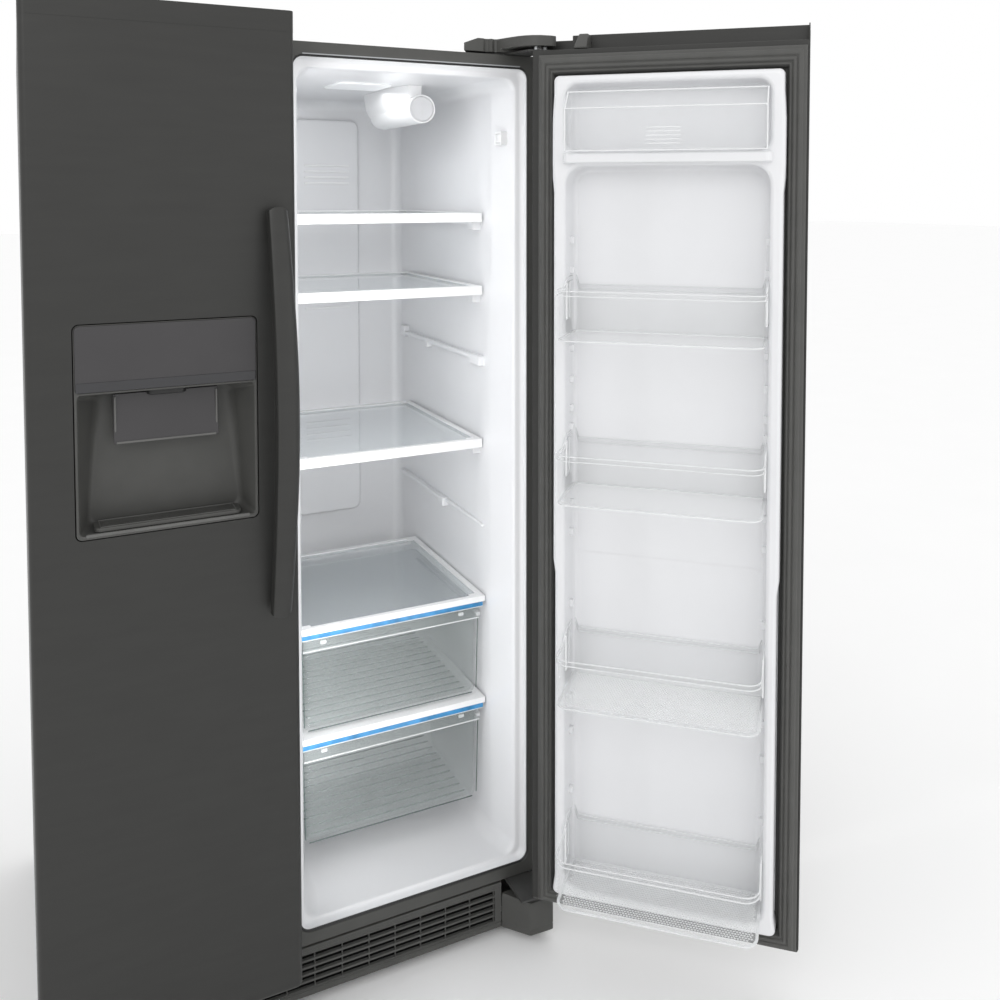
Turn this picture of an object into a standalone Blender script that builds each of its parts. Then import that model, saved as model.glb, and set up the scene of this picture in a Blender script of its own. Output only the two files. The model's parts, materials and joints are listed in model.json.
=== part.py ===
"""Side by side refrigerator, modelled as separate parts on two hinged doors.

Cabinet coordinates: X to the right, Y towards the back, Z up, in metres.
The case front is the plane y = 0 and the floor is z = 0. At the end the whole
assembly is moved so that its origin is the middle of its footprint, on the floor.
The fridge door stands open, the freezer door is closed.
"""
import math

import bmesh
import bpy
from mathutils import Vector

# --- driving dimensions ---------------------------------------------------------
GAP = 0.0003                    # clearance between pieces that touch
CASE_HALF = 0.454               # half the case width
CASE_TOP = 1.743
CASE_BACK = 0.690
CASE_BASE = 0.045               # underside of the chassis plate
STEEL = 0.0015
FRAME_THICK = 0.004             # front flange of the case
FRAME_BASE = 0.1145

OPENING_BASE, OPENING_TOP = 0.141, 1.717
FRIDGE_X = (-0.024, 0.433)      # compartment openings, left and right
FREEZER_X = (-0.433, -0.074)
OPENING_ROUND = 0.018
RIM_DEPTH = 0.019               # y where the wide rim of a liner ends
RIM_STEP = 0.019                # how far the wall steps in behind the rim
MULLION_STEP = 0.010            # the same on the fridge's side of the mullion
FLARE = 0.016                   # further narrowing of the walls
FLARE_DEPTH = 0.100
LINER_WALL = 0.0025
LINER_FLOOR, LINER_CEILING, LINER_BACK = 0.148, 1.700, 0.635
HUMP_FRONT, HUMP_SLANT, HUMP_TOP = 0.430, 0.030, 0.352
MACHINE_TOP = 0.310             # top of the machine compartment at the back
BACK_THICK = 0.003

DOOR_BASE, DOOR_STEP, DOOR_TOP = 0.1175, 1.742, 1.777
DOOR_FRONT, DOOR_BACK = -0.092, -0.022
DOOR_ROUND = 0.010
VISOR_THICK = 0.008             # raised front edge of a door's top end
FRIDGE_DOOR_X = (-0.042, 0.454)
FREEZER_DOOR_X = (-0.454, -0.045)
HINGE_INSET, HINGE_Y = 0.014, -0.058
COVER_EDGE = CASE_HALF - 0.0005 # outer side of a hinge cover
DOOR_OPEN_DEG = 137.0

LINER_EDGE = 0.0380             # free edge of a door to its liner's dike
LINER_HINGE_EDGE = 0.0470       # hinge edge of a door to its liner's dike
DIKE = 0.025                    # width of a door liner's dike
DIKE_END = 0.018                # and its height at the liner's top and bottom
DIKE_BASE, DIKE_TOP, DIKE_RISE = 0.157, 1.693, 0.035
RECESS_Y = -0.0467              # bottom of the door liner's recess
GASKET_RISE = 0.0217
GASKET_Z = (0.125, 1.732)

SHELF_TOPS = (1.438, 1.288, 0.971)
SHELF_FRONT, SHELF_BACK, SHELF_TRIM = 0.128, 0.560, 0.012
COVER_TOPS = (0.645, 0.430)
DRAWER_FRONT = 0.130
DRAWERS = ((0.4365, 0.622, 0.500), (0.214, 0.406, 0.420))   # base, top, back y
RAIL_TOPS = (1.141, 0.791)      # empty shelf rails on the side walls
UNDER_SHELF = 0.0125            # shelf top to the ledge that carries it
UNDER_FLANGE = 0.0255           # drawer top to the ledge that carries its flange
ICE_BIN = (1.345, 1.570)        # base and top of the freezer's fittings
FREEZER_SHELF = (1.008, 1.020)
BASKET = (0.175, 0.400)
BASKET_LIP = (0.385, 0.388)

BIN_BASES = (1.219, 0.929, 0.564, 0.197)
BIN_HEIGHT, BIN_FRONT, BIN_WALL, BIN_ROUND = 0.089, 0.103, 0.0025, 0.028
FREEZER_BIN_FRONT = 0.085       # the narrow freezer door swings its bin on a tighter arc
DAIRY_LEDGE = (1.527, 1.550)

GRILLE_BASE, GRILLE_TOP, GRILLE_THICK = 0.019, 0.111, 0.008
FOOT_TOP, FOOT_BASE = 0.088, 0.018
LEG_X, LEG_Y, ROLLER_X, ROLLER_Y, ROLLER_R = 0.400, 0.035, 0.385, 0.640, 0.020

DISPENSER_X, DISPENSER_Z = (-0.388, -0.112), (0.945, 1.277)
DISPENSER_BACK = -0.037
HANDLE_Z = (0.780, 1.454)
HANDLE_OFFSET = 0.015           # handle to the door's free edge
FILTER = (0.290, 1.651, 0.027)  # x, z and radius of the water filter

CIRCLE_STEPS = 20


# --- scene, bodies and materials -------------------------------------------------
for old in list(bpy.data.objects):
    bpy.data.objects.remove(old, do_unlink=True)

bodies = {}


def add_body(name, pivot, parent=None, turn_z=0.0):
    """An empty on a moving piece's joint; its pieces are modelled around the pivot."""
    empty = bpy.data.objects.new(name + "_joint", None)
    empty.empty_display_size = 0.05
    bpy.context.collection.objects.link(empty)
    base = Vector((0, 0, 0)) if parent is None else bodies[parent][1]
    if parent is not None:
        empty.parent = bodies[parent][0]
    empty.location = Vector(pivot) - base
    empty.rotation_euler.z = math.radians(turn_z)
    bodies[name] = (empty, Vector(pivot))


def material(name, colour, roughness, metallic=0.0, alpha=1.0):
    """A Principled material for one sub-part."""
    mat = bpy.data.materials.new(name)
    mat.use_nodes = True
    shader = mat.node_tree.nodes["Principled BSDF"]
    shader.inputs["Base Color"].default_value = (*colour, 1.0)
    shader.inputs["Roughness"].default_value = roughness
    shader.inputs["Metallic"].default_value = metallic
    shader.inputs["Alpha"].default_value = alpha
    return mat


DARK_STEEL = ((0.045, 0.045, 0.042), 0.35, 0.7)
DARK_TRIM = ((0.055, 0.055, 0.052), 0.5, 0.1)
WHITE_LINER = ((0.85, 0.86, 0.87), 0.25, 0.0)
WHITE_TRIM = ((0.88, 0.89, 0.90), 0.3, 0.0)
CLEAR = ((0.85, 0.90, 0.92), 0.05, 0.0, 0.3)
GREY_METAL = ((0.45, 0.46, 0.47), 0.35, 0.9)
BLACK = ((0.02, 0.02, 0.02), 0.5, 0.0)
FOAM = ((0.80, 0.72, 0.50), 0.9, 0.0)


# --- shape helpers ---------------------------------------------------------------
def place(axis, u, v, level):
    """A point of an outline at a level along the given axis."""
    if axis == "X":
        return (level, u, v)
    if axis == "Y":
        return (u, level, v)
    return (u, v, level)


def loft(sections, axis):
    """A closed solid through outlines of equal point count; sections are (points, level)."""
    bm = bmesh.new()
    rings = []
    for points, level in sections:
        rings.append([bm.verts.new(place(axis, u, v, level)) for u, v in points])
    count = len(rings[0])
    for low, high in zip(rings, rings[1:]):
        for i in range(count):
            j = (i + 1) % count
            bm.faces.new((low[i], low[j], high[j], high[i]))
    bm.faces.new(rings[0])
    bm.faces.new(rings[-1])
    bmesh.ops.recalc_face_normals(bm, faces=bm.faces)
    mesh = bpy.data.meshes.new("shape")
    bm.to_mesh(mesh)
    bm.free()
    shape = bpy.data.objects.new("shape", mesh)
    bpy.context.collection.objects.link(shape)
    return shape


def prism(points, axis, start, end):
    """An outline pushed straight from start to end."""
    return loft([(points, start), (points, end)], axis)


def rounded(u0, v0, u1, v1, radius=0.0, steps=3, corners=(1, 1, 1, 1)):
    """A rectangle's outline, counter-clockwise from its low corner; some corners rounded."""
    spots = ((u0, v0, 180), (u1, v0, 270), (u1, v1, 0), (u0, v1, 90))
    inward = ((1, 1), (-1, 1), (-1, -1), (1, -1))
    points = []
    for (u, v, start), (du, dv), is_round in zip(spots, inward, corners):
        if not is_round or radius <= 0:
            points.append((u, v))
            continue
        for k in range(steps + 1):
            a = math.radians(start + 90 * k / steps)
            points.append((u + du * radius + radius * math.cos(a), v + dv * radius + radius * math.sin(a)))
    return points


def box(x, y, z):
    """A plain block from three (low, high) pairs."""
    return prism(rounded(x[0], y[0], x[1], y[1]), "Z", z[0], z[1])


def circle(u, v, radius, steps=CIRCLE_STEPS):
    """A circle's outline."""
    return [(u + radius * math.cos(math.tau * k / steps), v + radius * math.sin(math.tau * k / steps))
            for k in range(steps)]


def rod(u, v, radius, axis, start, end, steps=12):
    """A round bar along an axis."""
    return prism(circle(u, v, radius, steps), axis, start, end)


def combine(base, tool, operation):
    """Boolean of two shapes; the tool shape is used up."""
    modifier = base.modifiers.new("combine", "BOOLEAN")
    modifier.operation = operation
    modifier.solver = "EXACT"
    modifier.object = tool
    bpy.context.view_layer.update()
    result = bpy.data.meshes.new_from_object(base.evaluated_get(bpy.context.evaluated_depsgraph_get()))
    base.modifiers.clear()
    base.data = result
    bpy.data.objects.remove(tool, do_unlink=True)
    return base


def cut(base, *tools):
    """The base shape with the tools taken away."""
    for tool in tools:
        combine(base, tool, "DIFFERENCE")
    return base


def join(base, *tools):
    """The base shape and the tools as one solid."""
    for tool in tools:
        combine(base, tool, "UNION")
    return base


def part(name, shape, look, body=None, smooth=False):
    """Name a finished shape, give it a material and hang it on its body's joint."""
    shape.name = name
    shape.data.name = name
    shape.data.materials.clear()
    shape.data.materials.append(material(name, *look))
    if body is not None:
        empty, pivot = bodies[body]
        for vert in shape.data.vertices:
            vert.co -= pivot
        shape.parent = empty
    else:
        shape.parent = root
    if smooth:
        shape.data.shade_smooth()
        shape.data.set_sharp_from_angle(angle=math.radians(35))
    return shape


def mirrored(points):
    """An XY outline mirrored across the cabinet's middle plane."""
    return [(-u, v) for u, v in reversed(points)]


# --- cabinet ---------------------------------------------------------------------
def wall_x(opening, y):
    """Left and right inner wall of a compartment at a depth behind the rim."""
    share = min(max((y - RIM_DEPTH) / (FLARE_DEPTH - RIM_DEPTH), 0.0), 1.0)
    flare = FLARE * share
    step = MULLION_STEP if opening == FRIDGE_X else RIM_STEP
    return opening[0] + step + flare, opening[1] - RIM_STEP - flare


def compartment(opening, grow, front):
    """The space inside a compartment's liner, grown on every side."""
    near = wall_x(opening, RIM_DEPTH)
    deep = wall_x(opening, FLARE_DEPTH)
    back = LINER_BACK + grow
    plan = [(near[0] - grow, front), (near[1] + grow, front), (near[1] + grow, RIM_DEPTH),
            (deep[1] + grow, FLARE_DEPTH), (deep[1] + grow, back), (deep[0] - grow, back),
            (deep[0] - grow, FLARE_DEPTH), (near[0] - grow, RIM_DEPTH)]
    floor = LINER_FLOOR - grow
    hump = HUMP_TOP - grow
    side = [(front, floor), (HUMP_FRONT + grow, floor), (HUMP_FRONT + HUMP_SLANT + grow, hump),
            (back, hump), (back, LINER_CEILING + grow), (front, LINER_CEILING + grow)]
    space = prism(plan, "Z", floor - 0.01, LINER_CEILING + grow + 0.01)
    combine(space, prism(side, "X", opening[0] - 0.05, opening[1] + 0.05), "INTERSECT")
    rim = rounded(opening[0] - grow, OPENING_BASE - grow, opening[1] + grow, OPENING_TOP + grow,
                  OPENING_ROUND + grow)
    return join(space, prism(rim, "Y", front - 0.001, RIM_DEPTH + grow))


def outer_case():
    w, t = CASE_HALF, STEEL
    outer = rounded(-w, CASE_BASE, w, CASE_TOP, 0.006, 3, (0, 0, 1, 1))
    shape = prism(outer, "Y", FRAME_THICK + GAP, CASE_BACK)
    inner = rounded(-w + t, CASE_BASE - 0.01, w - t, CASE_TOP - t, 0.0045, 3, (0, 0, 1, 1))
    part("outer_case", cut(shape, prism(inner, "Y", -0.01, CASE_BACK + 0.01)), DARK_STEEL)


def front_frame():
    w = CASE_HALF
    shape = prism(rounded(-w, FRAME_BASE, w, CASE_TOP, 0.006, 3, (0, 0, 1, 1)), "Y", 0.0, FRAME_THICK)
    for opening in (FRIDGE_X, FREEZER_X):
        hole = rounded(opening[0], OPENING_BASE, opening[1], OPENING_TOP, OPENING_ROUND)
        cut(shape, prism(hole, "Y", -0.01, 0.02))
    part("front_frame", shape, DARK_STEEL)


def foam_insulation():
    w = CASE_HALF - STEEL - GAP
    top = CASE_TOP - STEEL - GAP
    front = FRAME_THICK + GAP
    base = FRAME_BASE + 0.0035
    hollow_front, hollow_slant = 0.465, 0.030       # machine compartment under the slanted back
    profile = [(front, base), (hollow_front, base), (hollow_front + hollow_slant, MACHINE_TOP),
               (CASE_BACK, MACHINE_TOP), (CASE_BACK, top), (front, top)]
    shape = prism(profile, "X", -w, w)
    for opening in (FRIDGE_X, FREEZER_X):
        cut(shape, compartment(opening, LINER_WALL + GAP, -0.02))
    cut(shape, switch_pocket())
    past, leg = 0.010, 0.0145
    for side in (-1, 1):            # the bevel under the rounded top edges of the case
        edge = [(side * (w + past), top + past), (side * (w + past), top - leg),
                (side * (w - leg), top + past)]
        cut(shape, prism(edge, "Y", -0.01, CASE_BACK + 0.01))
    part("foam_insulation", shape, FOAM)


def switch_pocket():
    return box((0.390, 0.425), (0.0445, 0.0655), (1.577, 1.595))


def rails(shape, opening, rail_list):
    """Ledges moulded in both side walls; each is (top, height, width, front, back)."""
    left, right = wall_x(opening, FLARE_DEPTH)
    for top, height, width, front, back in rail_list:
        join(shape, box((left - 0.001, left + width), (front, back), (top - height, top)),
             box((right - width, right + 0.001), (front, back), (top - height, top)))
    return shape


def fridge_liner():
    shape = compartment(FRIDGE_X, LINER_WALL, FRAME_THICK + GAP + 0.001)
    cut(shape, compartment(FRIDGE_X, 0.0, -0.02), switch_pocket())
    ledges = [(top - UNDER_SHELF, 0.012, 0.016, 0.145, 0.590) for top in SHELF_TOPS]
    ledges += [(top, 0.012, 0.013, 0.130, 0.600) for top in RAIL_TOPS]
    for top, back in zip(COVER_TOPS, (0.540, 0.430)):
        ledges.append((top - UNDER_SHELF, 0.010, 0.016, 0.150, back))
    for _, top, back in DRAWERS:
        ledges.append((top - UNDER_FLANGE, 0.010, 0.0095, 0.150, back))
    part("fridge_liner", rails(shape, FRIDGE_X, ledges), WHITE_LINER)


def freezer_liner():
    shape = compartment(FREEZER_X, LINER_WALL, FRAME_THICK + GAP + 0.001)
    cut(shape, compartment(FREEZER_X, 0.0, -0.02))
    ledges = [(top - 0.0005, 0.012, 0.016, 0.110, 0.580) for top in (ICE_BIN[0], FREEZER_SHELF[0])]
    ledges.append((BASKET_LIP[0] - 0.0005, 0.012, 0.0095, 0.130, 0.420))
    part("freezer_liner", rails(shape, FREEZER_X, ledges), WHITE_LINER)


def back_panel():
    w = CASE_HALF - 0.002
    shape = box((-w, w), (CASE_BACK + GAP, CASE_BACK + BACK_THICK), (MACHINE_TOP + 0.001, CASE_TOP - 0.003))
    part("back_panel", shape, GREY_METAL)


def machine_cover():
    shape = box((-0.440, 0.440), (CASE_BACK + GAP, CASE_BACK + BACK_THICK), (0.060, MACHINE_TOP - 0.005))
    for row in range(4):
        for column in range(4):
            x = -0.360 + column * 0.185
            z = 0.100 + row * 0.045
            cut(shape, box((x, x + 0.150), (CASE_BACK - 0.01, CASE_BACK + 0.01), (z, z + 0.014)))
    part("machine_cover", shape, GREY_METAL)


def base_chassis():
    """Bottom pan with side rails, roller ears and the fan motor's post."""
    w = CASE_HALF - STEEL - GAP
    plate_top = CASE_BASE + 0.003
    shape = box((-w, w), (0.020, CASE_BACK - 0.002), (CASE_BASE, plate_top))
    for side in (-1, 1):
        rail = sorted((side * (w - 0.010), side * w))
        join(shape, box(rail, (0.020, CASE_BACK - 0.002), (CASE_BASE + 0.001, FRAME_BASE + 0.003)))
        for ear in (-1, 1):
            x = side * ROLLER_X + ear * 0.0195
            tab = box((x - 0.002, x + 0.002), (ROLLER_Y - 0.015, ROLLER_Y + 0.015),
                      (0.008, plate_top - 0.001))
            cut(tab, rod(ROLLER_Y, ROLLER_R, 0.0046, "X", x - 0.01, x + 0.01))
            join(shape, tab)
    join(shape, box((-0.020, 0.020), (0.600, 0.640), (plate_top - 0.001, 0.200)))
    part("base_chassis", shape, GREY_METAL)


def toe_grille():
    """Slotted kick plate between the two foot covers, with slanted ends to meet them."""
    front, back = 0.0, GRILLE_THICK
    outline = [(-0.3765, front), (0.3765, front), (0.3765, back), (-0.3765, back)]
    shape = prism(outline, "Z", GRILLE_BASE, GRILLE_TOP)
    rows, columns = 5, 7
    pitch = 0.0125
    width = 0.720 / columns
    for row in range(rows):
        z = 0.0335 + row * pitch
        for column in range(columns):
            x = -0.360 + column * width
            cut(shape, box((x + 0.002, x + width - 0.002), (-0.01, 0.02), (z, z + 0.0075)))
    part("toe_grille", shape, DARK_TRIM)


def foot_covers():
    plan = [(0.3772, 0.0), (0.417, -0.048), (0.4665, -0.050), (0.4665, 0.003), (0.3772, 0.003)]
    for name, outline in (("foot_cover_right", plan), ("foot_cover_left", mirrored(plan))):
        part(name, prism(outline, "Z", FOOT_BASE, FOOT_TOP), DARK_TRIM)


def legs_and_rollers():
    for name, side in (("right", 1), ("left", -1)):
        x = side * LEG_X
        pad, stem = circle(x, LEG_Y, 0.017, 16), circle(x, LEG_Y, 0.006, 16)
        leg = loft([(pad, 0.0), (pad, 0.008), (stem, 0.010), (stem, CASE_BASE - GAP)], "Z")
        part("levelling_leg_" + name, leg, BLACK, smooth=True)
        x = side * ROLLER_X
        add_body("rear_roller_" + name, (x, ROLLER_Y, ROLLER_R))
        y, z, r = ROLLER_Y, ROLLER_R, ROLLER_R
        wheel = loft([(circle(y, z, 0.004), x - 0.021), (circle(y, z, 0.004), x - 0.016),
                      (circle(y, z, r - 0.001), x - 0.016), (circle(y, z, r), x - 0.014),
                      (circle(y, z, r), x + 0.014), (circle(y, z, r - 0.001), x + 0.016),
                      (circle(y, z, 0.004), x + 0.016), (circle(y, z, 0.004), x + 0.021)], "X")
        part("rear_roller_" + name, wheel, BLACK, "rear_roller_" + name, smooth=True)


def hinge_x(side):
    """The upright hinge line of a door: side is 1 for the fridge, -1 for the freezer."""
    return side * (CASE_HALF - HINGE_INSET)


def top_hinges():
    """Hinge plates on the case top with pins down into the doors, and their covers."""
    x, y = hinge_x(1), HINGE_Y
    plate = [(0.366, 0.100), (0.340, 0.020), (0.385, 0.004), (0.402, y - 0.006), (x - 0.010, y - 0.016),
             (x, y - 0.018), (x + 0.011, y - 0.013), (x + 0.012, y + 0.006), (x + 0.003, y + 0.022),
             (x + 0.001, 0.010), (x + 0.001, 0.100)]
    cover = [(0.301, 0.006), (0.362, 0.006), (0.371, 0.000), (0.376, -0.012), (0.382, -0.034),
             (0.391, -0.056), (0.404, -0.072), (0.420, -0.0805)]
    knuckle = 0.025
    for a in range(-90, 81, 17):
        around = math.radians(a)
        cover.append((min(x + knuckle * math.cos(around), COVER_EDGE), y + knuckle * math.sin(around)))
    cover += [(x + 0.002, -0.014), (COVER_EDGE, 0.004), (COVER_EDGE, 0.130), (0.372, 0.130)]
    for name, side in (("right", 1), ("left", -1)):
        shape = prism(plate if side > 0 else mirrored(plate), "Z", CASE_TOP + GAP, CASE_TOP + 0.0033)
        join(shape, rod(side * x, y, 0.006, "Z", 1.712, CASE_TOP + 0.002))
        part("hinge_top_" + name, shape, DARK_STEEL)
        outline = cover if side > 0 else mirrored(cover)
        shape = prism(outline, "Z", CASE_TOP + 0.0036, 1.772)
        slope = [(0.290, 1.762), (0.301, 1.762), (0.332, 1.7725), (0.332, 1.790), (0.290, 1.790)]
        cut(shape, prism(slope if side > 0 else mirrored(slope), "Y", -0.1, 0.2))
        part("hinge_cover_" + name, shape, DARK_TRIM)


def bottom_hinges():
    """Tongues under the doors with pins up into them."""
    x, y = hinge_x(1), HINGE_Y
    tongue = [(0.385, y - 0.014), (x - 0.008, y - 0.018), (x + 0.009, y - 0.018), (x + 0.0125, -0.002),
              (0.437, -0.002), (0.437, 0.060), (0.385, 0.060)]
    for name, side in (("right", 1), ("left", -1)):
        shape = prism(tongue if side > 0 else mirrored(tongue), "Z", 0.1098, 0.1138)
        join(shape, rod(side * x, y, 0.006, "Z", 0.1130, 0.140))
        part("hinge_bottom_" + name, shape, DARK_STEEL)


# --- machine compartment -----------------------------------------------------------
def compressor():
    x, y = 0.220, 0.596
    base = CASE_BASE + 0.003 + GAP
    rings = ((0.050, base), (0.050, base + 0.012), (0.078, base + 0.030), (0.082, base + 0.060),
             (0.082, base + 0.120), (0.074, base + 0.158), (0.045, base + 0.180))
    shape = loft([(circle(x, y, r, 24), z) for r, z in rings], "Z")
    join(shape, box((x - 0.110, x + 0.110), (y - 0.040, y + 0.040), (base + 0.002, base + 0.010)))
    part("compressor", shape, BLACK, smooth=True)


def condenser_fan():
    y, z = 0.578, 0.150
    add_body("condenser_fan", (0.0, y, z))
    shape = rod(0.0, z, 0.020, "Y", y - 0.014, y + 0.0215, 16)
    for k in range(5):
        blade = box((-0.014, 0.014), (-0.0015, 0.0015), (0.015, 0.070))
        twist = math.radians(32)
        lean = math.tau * k / 5
        for vert in blade.data.vertices:
            across, depth, out = vert.co
            across, depth = (across * math.cos(twist) - depth * math.sin(twist),
                             across * math.sin(twist) + depth * math.cos(twist))
            vert.co = (across * math.cos(lean) + out * math.sin(lean), depth + y,
                       z + out * math.cos(lean) - across * math.sin(lean))
        join(shape, blade)
    part("condenser_fan", shape, BLACK, "condenser_fan")


# --- fridge compartment -------------------------------------------------------------
SHELF_X = (FRIDGE_X[0] + MULLION_STEP + FLARE + 0.002, FRIDGE_X[1] - RIM_STEP - FLARE - 0.002)


def shelf_frame(x, y, top, drop, ledge=0.006):
    """A rim round a pane with a deeper trim along the front and a ledge under the pane."""
    frame = box(x, y, (top - 0.012, top))
    join(frame, box(x, (y[0], y[0] + SHELF_TRIM), (top - drop, top - 0.001)))
    inner_x = (x[0] + SHELF_TRIM, x[1] - SHELF_TRIM)
    inner_y = (y[0] + SHELF_TRIM, y[1] - SHELF_TRIM)
    cut(frame, box(inner_x, inner_y, (top - 0.0063, top + 0.01)))
    return cut(frame, box((inner_x[0] + ledge, inner_x[1] - ledge),
                          (inner_y[0] + ledge, inner_y[1] - ledge), (top - 0.05, top)))


def shelf_pane(x, y, top):
    side = SHELF_TRIM + GAP
    return box((x[0] + side, x[1] - side), (y[0] + side, y[1] - side), (top - 0.006, top - 0.002))


def shelves():
    for name, top in zip(("top", "middle", "lower"), SHELF_TOPS):
        y = (SHELF_FRONT, SHELF_BACK)
        part("shelf_frame_" + name, shelf_frame(SHELF_X, y, top, 0.019), WHITE_TRIM)
        part("shelf_glass_" + name, shelf_pane(SHELF_X, y, top), CLEAR)


def crisper_covers():
    y = (SHELF_FRONT - 0.012, 0.520)
    part("crisper_cover_upper", shelf_frame(SHELF_X, y, COVER_TOPS[0], 0.0205), WHITE_TRIM)
    part("crisper_cover_glass", shelf_pane(SHELF_X, y, COVER_TOPS[0]), CLEAR)
    y = (SHELF_FRONT - 0.012, 0.435)
    top = COVER_TOPS[1]
    lower = box(SHELF_X, y, (top - 0.005, top))
    join(lower, box(SHELF_X, (y[0], y[0] + SHELF_TRIM), (top - 0.0205, top - 0.001)))
    for x in (SHELF_X[0], SHELF_X[1] - SHELF_TRIM):
        join(lower, box((x, x + SHELF_TRIM), (y[0], y[1]), (top - 0.012, top - 0.001)))
    part("crisper_cover_lower", lower, WHITE_TRIM)


def crisper_drawers():
    x0, x1 = SHELF_X[0] + 0.0095, SHELF_X[1] - 0.0095
    wall = 0.003
    for name, (base, top, back) in zip(("upper", "lower"), DRAWERS):
        body = "crisper_" + name
        add_body(body, (0.5 * (x0 + x1), DRAWER_FRONT, base))
        outer = rounded(x0, DRAWER_FRONT, x1, back, 0.010)
        small = rounded(x0 + 0.004, DRAWER_FRONT + 0.002, x1 - 0.004, back - 0.004, 0.010)
        shape = loft([(small, base), (outer, base + 0.012), (outer, top)], "Z")
        flange = box((x0 - 0.008, x1 + 0.008), (DRAWER_FRONT + 0.012, back - 0.002),
                     (top - UNDER_FLANGE + 0.0005, top - UNDER_FLANGE + 0.0035))
        pull = box((x0 + 0.001, x1 - 0.001), (DRAWER_FRONT - 0.008, DRAWER_FRONT + 0.020),
                   (top - 0.024, top - 0.002))
        join(shape, flange, pull)
        inner = rounded(x0 + wall, DRAWER_FRONT + wall, x1 - wall, back - wall, 0.008)
        lower = rounded(x0 + wall + 0.004, DRAWER_FRONT + wall + 0.002,
                        x1 - wall - 0.004, back - wall - 0.004, 0.008)
        cut(shape, loft([(lower, base + wall), (inner, base + wall + 0.012), (inner, top + 0.01)], "Z"))
        part("crisper_drawer_" + name, shape, CLEAR, body)


def water_filter():
    x, z, r = FILTER
    outline = rounded(x - 0.040, z - 0.036, x + 0.040, LINER_CEILING - GAP, 0.018, 4, (1, 1, 0, 0))
    housing = prism(outline, "Y", 0.215, 0.470)
    cut(housing, rod(x, z, r + 0.0012, "Y", 0.200, 0.455, CIRCLE_STEPS))
    part("filter_housing", housing, WHITE_TRIM)
    add_body("water_filter", (x, 0.200, z))
    shape = loft([(circle(x, z, r - 0.003), 0.196), (circle(x, z, r), 0.199), (circle(x, z, r), 0.430),
                  (circle(x, z, r * 0.5), 0.440), (circle(x, z, r * 0.5), 0.452)], "Y")
    part("water_filter", shape, WHITE_TRIM, "water_filter", smooth=True)


def door_switch():
    """Sprung light switch in the right wall."""
    add_body("door_switch", (0.400, 0.055, 1.586))
    button = [(0.0450, 0.4180), (0.0450, 0.3985), (0.0480, 0.3955), (0.0620, 0.3955), (0.0650, 0.3985),
              (0.0650, 0.4180)]
    shape = prism([(v, u) for u, v in button], "Z", 1.5775, 1.5945)
    part("door_switch", shape, WHITE_TRIM, "door_switch")


# --- freezer compartment ---------------------------------------------------------------
FREEZER_INNER = (FREEZER_X[0] + RIM_STEP + FLARE, FREEZER_X[1] - RIM_STEP - FLARE)


def tray(x, y, base, top, wall, radius):
    """An open box with round upright corners."""
    shape = prism(rounded(x[0], y[0], x[1], y[1], radius), "Z", base, top)
    inner = rounded(x[0] + wall, y[0] + wall, x[1] - wall, y[1] - wall, max(radius - wall, 0.001))
    return cut(shape, prism(inner, "Z", base + wall, top + 0.01))


def freezer_fittings():
    left, right = FREEZER_INNER
    part("evaporator_cover", box((left + 0.002, right - 0.002), (0.612, 0.620), (0.356, 1.560)), WHITE_TRIM)
    body = rounded(left + 0.012, 1.590, right - 0.012, LINER_CEILING - GAP, 0.012, 3, (1, 1, 0, 0))
    part("ice_maker", prism(body, "Y", 0.280, 0.600), WHITE_TRIM)
    part("ice_bin", tray((left + 0.004, right - 0.004), (0.090, 0.580), *ICE_BIN, 0.003, 0.012), CLEAR)
    x, y = (left + 0.002, right - 0.002), (0.110, 0.580)
    shelf = box(x, y, FREEZER_SHELF)
    bars = 6
    step = (x[1] - x[0] - 0.012) / bars
    for k in range(bars):
        start = x[0] + 0.012 + k * step
        cut(shelf, box((start, start + step - 0.012), (y[0] + 0.012, y[1] - 0.012), (1.0, 1.03)))
    part("freezer_shelf", shelf, WHITE_TRIM)
    basket = tray((left + 0.012, right - 0.012), (0.120, 0.420), *BASKET, 0.003, 0.012)
    lips = box((left + 0.003, right - 0.003), (0.132, 0.418), BASKET_LIP)
    hollow = box((left + 0.015, right - 0.015), (0.125, 0.4165), (0.3, 0.5))
    part("freezer_basket", join(basket, cut(lips, hollow)), CLEAR)


# --- doors --------------------------------------------------------------------------------
def door_shell(span, side):
    """Steel wrapped foam slab with a raised visor along its top front edge."""
    x0, x1 = span
    slab = rounded(x0, DOOR_FRONT, x1, DOOR_BACK, DOOR_ROUND, 4, (1, 1, 0, 0))
    shape = prism(slab, "Z", DOOR_BASE, DOOR_STEP)
    hinge_edge = x1 if side > 0 else x0
    free_edge = x0 if side > 0 else x1
    low_end = hinge_edge - side * 0.062
    stop = (hinge_edge - side * 0.100, hinge_edge - side * 0.076)
    front = DOOR_FRONT + 0.0005
    rim = rounded(x0 + GAP, front, x1 - GAP, DOOR_FRONT + VISOR_THICK, 0.0075, 4, (1, 1, 0, 0))
    visor = prism(rim, "Z", DOOR_STEP - 0.002, DOOR_TOP - 0.009)
    join(shape, visor)
    tall = sorted((free_edge + side * 0.012, low_end))
    join(shape, box(tall, (front, DOOR_FRONT + VISOR_THICK - 0.0001), (DOOR_STEP - 0.0015, DOOR_TOP)))
    join(shape, box(sorted(stop), (DOOR_FRONT + 0.005, -0.050), (DOOR_STEP - 0.001, DOOR_TOP - 0.001)))
    x = hinge_x(side)
    for z in ((DOOR_BASE - 0.01, 0.150), (1.705, DOOR_STEP + 0.01)):
        cut(shape, rod(x, HINGE_Y, 0.0075, "Z", z[0], z[1]))
    return shape


def liner_span(span, side):
    """The outer edges of a door liner's dike."""
    if side > 0:
        return span[0] + LINER_EDGE, span[1] - LINER_HINGE_EDGE
    return span[0] + LINER_HINGE_EDGE, span[1] - LINER_EDGE


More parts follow.
